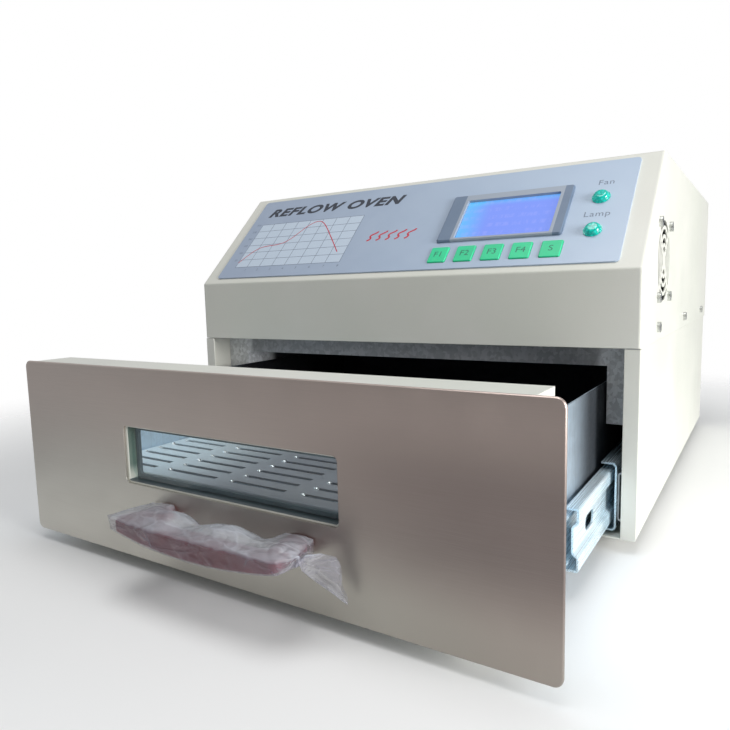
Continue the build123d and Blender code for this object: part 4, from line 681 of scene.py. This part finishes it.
def smooth_curve(points, steps=10):
    """A Catmull-Rom curve through points."""
    ends = [points[0]] + list(points) + [points[-1]]
    curve = []
    for p0, p1, p2, p3 in zip(ends, ends[1:], ends[2:], ends[3:]):
        for i in range(steps):
            curve.append(tuple(spline(i / steps, *axis) for axis in zip(p0, p1, p2, p3)))
    return curve + [tuple(points[-1])]


def print_panel():
    """The heating chart, the title, the heat symbol and the lamp labels."""
    width, height = CHART_RIGHT - CHART_LEFT, CHART_HIGH - CHART_LOW
    middle = (CHART_LOW + CHART_HIGH) / 2
    print_lines("chart_ground", [[(CHART_LEFT, middle), (CHART_RIGHT, middle)]], height, SKIN, CHART_INK)
    columns = [CHART_LEFT + width * i / CHART_COLUMNS for i in range(CHART_COLUMNS + 1)]
    rows = [CHART_LOW + height * i / CHART_ROWS for i in range(CHART_ROWS + 1)]
    grid = [[(x, CHART_LOW), (x, CHART_HIGH)] for x in columns]
    grid += [[(CHART_LEFT, s), (CHART_RIGHT, s)] for s in rows]
    print_lines("chart_grid", grid, 0.45, SKIN + PRINT_STEP, GREY_INK)
    curve = [(CHART_LEFT + width * u, CHART_LOW + height * v) for u, v in smooth_curve(PROFILE)]
    print_lines("chart_curve", [curve], 0.8, SKIN + 2 * PRINT_STEP, RED_INK)
    numbers = [(str(i), x, CHART_LOW - 4, 3.6) for i, x in enumerate(columns) if i]
    numbers += [(str(50 * i), CHART_LEFT - 5, s, 3.2) for i, s in enumerate(rows) if i]
    print_letters("chart_numbers", numbers, GREY_INK, SKIN)
    title = [("REFLOW OVEN", *TITLE_PLACE, TITLE_SIZE)]
    style = {"slant": 0.3, "weight": 0.00066, "spacing": 1.12, "width": TITLE_WIDTH * MM}
    print_letters("title_print", title, DARK_INK, SKIN, **style)
    labels = [("Fan", *FAN_LABEL, LABEL_SIZE), ("Lamp", *LAMP_LABEL, LABEL_SIZE)]
    print_letters("lamp_labels", labels, GREY_INK, SKIN, spacing=1.1)
    waves = []
    for i in range(HEAT_WAVES):
        x = HEAT_LEFT + HEAT_PITCH * i
        rises = [0.9 * k for k in range(13)]
        waves.append([(x + 1.6 * math.sin(0.8 * rise) + 0.55 * rise, HEAT_LOW + rise) for rise in rises])
    print_lines("heat_symbol", waves, 1.7, SKIN, RED_INK)


def print_keys():
    """A legend on each key, which moves with it."""
    for key, text in KEY_LABELS.items():
        low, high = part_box(key)
        middle = (low + high) / 2 - PANEL_ORIGIN
        height = farthest(key, OUTWARD, PANEL_ORIGIN) + PRINT_STEP
        label = [(text, middle.x / MM, middle.dot(ALONG) / MM, LABEL_SIZE)]
        print_letters(key + "_legend", label, KEY_INK, height, key + "_body", "key_green")


print_panel()
print_keys()


# ---------------------------------------------------------------- bright burrs at the tray's punched slots
SLOT_PITCH, ROW_PITCH = 57.4 * MM, 13.0 * MM
FIRST_SLOT_END = -148.2 * MM  # the left end of the leftmost slots
FIRST_ROW = FRONT - 127.0 * MM
SLOT_LEFT_ENDS = [FIRST_SLOT_END + SLOT_PITCH * i for i in range(5)]
SLOT_ROWS = [FIRST_ROW + ROW_PITCH * i for i in range(23)]


def dome(centre, radius, height, sides=10, rings=4):
    """The points and faces of a small dome, its faces numbered from 0."""
    points = [centre + Vector((0, 0, height))]
    for r in range(1, rings + 1):
        angle = 0.5 * math.pi * r / rings
        for i in range(sides):
            turn = 2 * math.pi * i / sides
            out = radius * math.sin(angle)
            offset = Vector((out * math.cos(turn), out * math.sin(turn), height * math.cos(angle)))
            points.append(centre + offset)
    faces = [(0, 1 + i, 1 + (i + 1) % sides) for i in range(sides)]
    for r in range(rings - 1):
        for i in range(sides):
            a, b = 1 + r * sides + i, 1 + r * sides + (i + 1) % sides
            faces.append((a, a + sides, b + sides, b))
    return points, faces


def punch_burrs():
    """Raised burrs left by the punch at the slots' ends, of uneven size."""
    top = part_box("tray")[1].z
    points, faces = [], []
    for x in SLOT_LEFT_ENDS:
        for y in SLOT_ROWS:
            size = 1.15 + 0.6 * noise.noise(Vector((x * 900, (y - FRONT) * 700, 3)))
            centre = Vector((x - 1.0 * MM, y, top - 0.1 * MM))
            dome_points, dome_faces = dome(centre, 1.3 * size * MM, 0.9 * size * MM)
            start = len(points)
            points += dome_points
            faces += [tuple(start + i for i in face) for face in dome_faces]
    add_piece("tray_burrs", points, faces, BURR_METAL, "drawer", smooth=True)


BURR_METAL = polished("burr_metal", (252, 253, 255), 0.2)
punch_burrs()


# ---------------------------------------------------------------- the film round the handle
HANDLE_LOW, HANDLE_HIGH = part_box("drawer_handle")
PLATE_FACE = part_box("drawer_front_plate")[0].y
HANDLE_MIDDLE = (HANDLE_LOW.x + HANDLE_HIGH.x) / 2
HANDLE_HALF = HANDLE_HIGH.x - HANDLE_MIDDLE
END_BOTTOM = 5 * MM  # the handle's ends are that much shallower than its middle
LEG_START, LEG_RISE = 36 * MM, 6 * MM  # from the handle's middle, where the film stops sagging
TIP_ROWS, FILM_STATIONS, NECK_ROWS, TAIL_ROWS = 9, 230, 12, 9  # the bag's rows from its tip to its tail
FILM_AROUND = 84  # the points in one row


def bump_at(x, centre, width, height):
    """A smooth hump."""
    return height * math.exp(-(((x - centre) / width) ** 2))


def puff(x):
    """How far the loose top of the bag stands above the handle, in metres, x in millimetres."""
    humps = ((-36, 15, 4.2), (-20, 8, 3.4), (19, 15, 5.4), (55, 8, 3.0))
    return (0.5 + sum(bump_at(x, *hump) for hump in humps)) * MM


def film_section(x):
    """(y, z) points round the handle at x metres, from the plate over the top and under to the plate."""
    share = min(1.0, abs(x - HANDLE_MIDDLE) / HANDLE_HALF) ** 2
    front = HANDLE_LOW.y + 2 * MM * share - 0.7 * MM
    bottom = HANDLE_LOW.z + END_BOTTOM * share - 0.8 * MM
    top = HANDLE_HIGH.z + 0.7 * MM
    lift = puff(x / MM)
    depth = PLATE_FACE - front
    leg = (abs(x - HANDLE_MIDDLE) - LEG_START) / LEG_RISE
    sag = 1 - min(1.0, max(0.0, leg))
    shape = [
        (PLATE_FACE - 0.9 * MM, top - 9 * MM * sag + 0.3 * lift),
        (PLATE_FACE - 0.18 * depth, top - 4 * MM * sag + 0.55 * lift),
        (PLATE_FACE - 0.42 * depth, top - 0.5 * MM * sag + 0.9 * lift),
        (PLATE_FACE - 0.68 * depth, top + lift),
        (PLATE_FACE - 0.88 * depth, top + 0.4 * lift),
        (front, top - 0.4 * MM),
        (front - 0.3 * MM, (top + bottom) / 2),
        (front, bottom),
        (PLATE_FACE - 0.8 * depth, bottom - 0.5 * MM),
        (PLATE_FACE - 0.55 * depth, bottom - 0.2 * MM),
        (PLATE_FACE - 0.28 * depth, bottom + 1.0 * MM * sag),
        (PLATE_FACE - 0.9 * MM, bottom + 3.0 * MM * sag - 0.2 * MM),
    ]
    fine = smooth_curve(shape, 12)
    lengths = [0.0]
    for a, b in zip(fine, fine[1:]):
        lengths.append(lengths[-1] + math.dist(a, b))
    section, k = [], 0
    for i in range(FILM_AROUND):
        target = lengths[-1] * i / (FILM_AROUND - 1)
        while k < len(fine) - 2 and lengths[k + 1] < target:
            k += 1
        t = (target - lengths[k]) / max(lengths[k + 1] - lengths[k], 1e-9)
        section.append(tuple(a + (b - a) * min(t, 1.0) for a, b in zip(fine[k], fine[k + 1])))
    return section


def film_rows():
    """The bag's stations: a pinched tip, the sleeve, the twisted neck and the flared tail."""
    cap = 8.5 * MM
    left, right = HANDLE_LOW.x - 0.9 * MM, HANDLE_HIGH.x + 0.9 * MM
    tip = Vector((left - cap, HANDLE_LOW.y + 4.5 * MM, HANDLE_HIGH.z - 0.2 * MM))
    rows = []
    first = [Vector((left, y, z)) for y, z in film_section(left)]
    for i in range(TIP_ROWS):
        t = (i / TIP_ROWS) ** 0.85
        rows.append([tip.lerp(p, t) + Vector(((left - tip.x) * (1 - t) * 0.2, 0, 0)) for p in first])
    for i in range(FILM_STATIONS):
        x = left + (right - left) * i / (FILM_STATIONS - 1)
        rows.append([Vector((x, y, z)) for y, z in film_section(x)])
    knot = Vector((right + 5.0 * MM, HANDLE_LOW.y + 11.5 * MM, HANDLE_HIGH.z - 2.0 * MM))
    heading = Vector((0.8, 0.45, -0.35)).normalized()
    side = heading.cross(Vector((0, 0, 1))).normalized()
    rise = side.cross(heading)
    ring = []
    for i in range(FILM_AROUND):
        angle = math.radians(110) + 2 * math.pi * i / (FILM_AROUND - 1)
        radius = (2.5 + 0.7 * math.cos(11 * angle)) * MM
        ring.append(knot + (side * math.cos(angle) - rise * math.sin(angle)) * radius)
    last = rows[-1]
    for i in range(1, NECK_ROWS + 1):
        t = i / NECK_ROWS
        bulge = Vector((2.4 * MM * math.sin(math.pi * t), 0, 0))
        rows.append([a.lerp(b, t**0.8) + bulge * (1 - t) for a, b in zip(last, ring)])
    # the tail's upper and lower ends, from the neck, and the gap between its layers, in millimetres
    flares = (
        ((2.5, 3.5, 2.6), (-1.0, 6.0, -8.0), 2.2),
        ((8.0, 7.5, 2.8), (2.5, 10.5, -13.5), 2.0),
        ((14.0, 12.0, 0.8), (18.0, 14.0, -23.5), 1.6),
    )
    past = ring
    for top_offset, low_offset, gap in flares:
        top = knot + Vector(top_offset) * MM
        low = knot + Vector(low_offset) * MM
        sheet = []
        for i in range(FILM_AROUND):
            share = i / (FILM_AROUND - 1)
            down = 1 - abs(2 * share - 1)
            layer = gap * MM * math.sin(2 * math.pi * share) * 0.6
            ripple = 0.9 * MM * math.sin(9 * down + 4 * top_offset[0])
            sheet.append(top.lerp(low, down) + Vector((0, layer + ripple, 0)))
        for i in range(1, TAIL_ROWS + 1):
            rows.append([a.lerp(b, i / TAIL_ROWS) for a, b in zip(past, sheet)])
        past = sheet
    return rows


def crumple(point):
    """A crease height between 0 and 1: sharp ridges that run mostly slantwise."""
    slanted = Vector((point.x * 42 + point.z * 30, point.y * 60, point.z * 90))
    ridge = 1 - abs(noise.noise(slanted)) * 2.2
    small = 1 - abs(noise.noise(slanted * 2.3 + Vector((7, 3, 1)))) * 2.0
    return max(0.0, ridge) ** 2 * 0.7 + max(0.0, small) ** 3 * 0.25


def wrap_handle():
    """The bag as one mesh, creased outwards so that it stays clear of the handle."""
    rows = film_rows()
    points = []
    for r, row in enumerate(rows):
        above, below = rows[max(r - 1, 0)], rows[min(r + 1, len(rows) - 1)]
        for c, point in enumerate(row):
            along = below[c] - above[c]
            around = row[min(c + 1, FILM_AROUND - 1)] - row[max(c - 1, 0)]
            normal = along.cross(around)
            normal = normal.normalized() if normal.length > 1e-12 else Vector((0, 0, 1))
            loose = 0.25 + 0.75 * math.exp(-(((c / FILM_AROUND - 0.2) / 0.2) ** 2))
            lifted = point + normal * crumple(point) * loose * 1.8 * MM
            lifted.y = min(lifted.y, PLATE_FACE - 0.5 * MM)
            points.append(lifted)
    sleeve = range(TIP_ROWS, TIP_ROWS + FILM_STATIONS - 1)  # open at the back, against the plate
    faces = []
    for r in range(len(rows) - 1):
        for c in range(FILM_AROUND - 1 if r in sleeve else FILM_AROUND):
            d = (c + 1) % FILM_AROUND
            this_row, next_row = r * FILM_AROUND, (r + 1) * FILM_AROUND
            faces.append((this_row + c, this_row + d, next_row + d, next_row + c))
    film = FINISHES["clear_film"]
    wrap = add_piece("handle_wrap", points, faces, film, "drawer", smooth=True)
    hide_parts("handle_film")


wrap_handle()


# ---------------------------------------------------------------- light, floor and camera
def area_light(name, place, target, size, power, colour=(1, 1, 1)):
    light = bpy.data.lights.new(name, "AREA")
    light.shape = "DISK"
    light.size = size
    light.energy = power
    light.color = colour
    lamp = bpy.data.objects.new(name, light)
    lamp.location = place
    lamp.rotation_euler = (Vector(target) - Vector(place)).to_track_quat("-Z", "Y").to_euler()
    bpy.context.scene.collection.objects.link(lamp)


def world_light():
    """White to the camera; as light, dim ahead of the oven and brighter to its sides, above and behind."""
    world = bpy.data.worlds.new("studio")
    bpy.context.scene.world = world
    world.use_nodes = True
    nodes, links = world.node_tree.nodes, world.node_tree.links
    seen = nodes.new("ShaderNodeBackground")
    seen.inputs["Color"].default_value = (1, 1, 1, 1)
    lighting = nodes["Background"]
    lighting.inputs["Color"].default_value = (0.94, 0.97, 1.0, 1)
    direction = nodes.new("ShaderNodeSeparateXYZ")
    links.new(nodes.new("ShaderNodeTexCoord").outputs["Generated"], direction.inputs[0])
    ahead = nodes.new("ShaderNodeMapRange")
    ahead.interpolation_type = "SMOOTHSTEP"
    for index, value in enumerate((-1.0, -0.2, 0.14, 0.42)):
        ahead.inputs[index + 1].default_value = value
    links.new(direction.outputs["Y"], ahead.inputs[0])
    links.new(ahead.outputs[0], lighting.inputs["Strength"])
    path = nodes.new("ShaderNodeLightPath")
    mix = nodes.new("ShaderNodeMixShader")
    links.new(path.outputs["Is Camera Ray"], mix.inputs[0])
    links.new(lighting.outputs[0], mix.inputs[1])
    links.new(seen.outputs[0], mix.inputs[2])
    links.new(mix.outputs[0], nodes["World Output"].inputs["Surface"])


def floor():
    """A pale floor that melts into the white surround."""
    mesh = bpy.data.meshes.new("floor")
    half = 4.0
    corners = [(-half, -half, 0), (half, -half, 0), (half, half, 0), (-half, half, 0)]
    mesh.from_pydata(corners, [], [(0, 1, 2, 3)])
    sheet = bpy.data.objects.new("floor", mesh)
    paper = Finish("floor", roughness=0.9, specular_ior_level=0.1)
    shade = paper.remap(paper.grain(2.0, 3), 0.3, 0.7)
    paper.set(base_color=paper.mix(shade, (0.84, 0.84, 0.84, 1), (0.88, 0.88, 0.88, 1)))
    distance = paper.add("ShaderNodeVectorMath", {0: paper.place}, operation="LENGTH").outputs["Value"]
    fade = paper.remap(distance, 0.35, 0.85)
    clear = paper.nodes.new("ShaderNodeBsdfTransparent").outputs[0]
    ends = {0: fade, 1: paper.shader.outputs[0], 2: clear}
    paper.feed(paper.end, paper.add("ShaderNodeMixShader", ends).outputs[0])
    mesh.materials.append(paper.material)
    bpy.context.scene.collection.objects.link(sheet)


def studio():
    """A strong light from the right, a soft one from above and a faint one from the left."""
    area_light("right_light", (1.2, -0.34, 0.33), (0.1, 0.0, 0.1), 0.6, 15.0, (1.0, 1.0, 0.98))
    area_light("top_light", (0.1, -0.35, 1.65), (0, -0.1, 0.1), 1.0, 10.5)
    area_light("left_light", (-1.8, -1.0, 0.8), (0, -0.2, 0.1), 1.2, 0.5, (1.0, 0.96, 0.93))
    world_light()
    floor()


def camera():
    """The eye, ahead of the oven and to its right, a little lower than the panel's foot."""
    azimuth, elevation, roll = (math.radians(a) for a in (32.61, 6.78, -1.47))
    toward = Vector(
        (
            math.sin(azimuth) * math.cos(elevation),
            -math.cos(azimuth) * math.cos(elevation),
            math.sin(elevation),
        )
    )
    right = (-toward).cross(Vector((0, 0, 1))).normalized()
    top = right.cross(-toward)
    turned_right = right * math.cos(roll) + top * math.sin(roll)
    turned_top = -right * math.sin(roll) + top * math.cos(roll)
    eye = Vector((0.2481, FRONT - 0.4082, 0.1701))
    data = bpy.data.cameras.new("camera")
    data.lens = 31.157
    data.sensor_width = 36.0
    data.clip_start = 0.01
    view = bpy.data.objects.new("camera", data)
    rotation = Matrix((turned_right, turned_top, toward)).transposed().to_4x4()
    view.matrix_world = Matrix.Translation(eye) @ rotation
    bpy.context.scene.collection.objects.link(view)
    bpy.context.scene.camera = view


studio()
camera()
bpy.context.scene.view_settings.view_transform = "Standard"
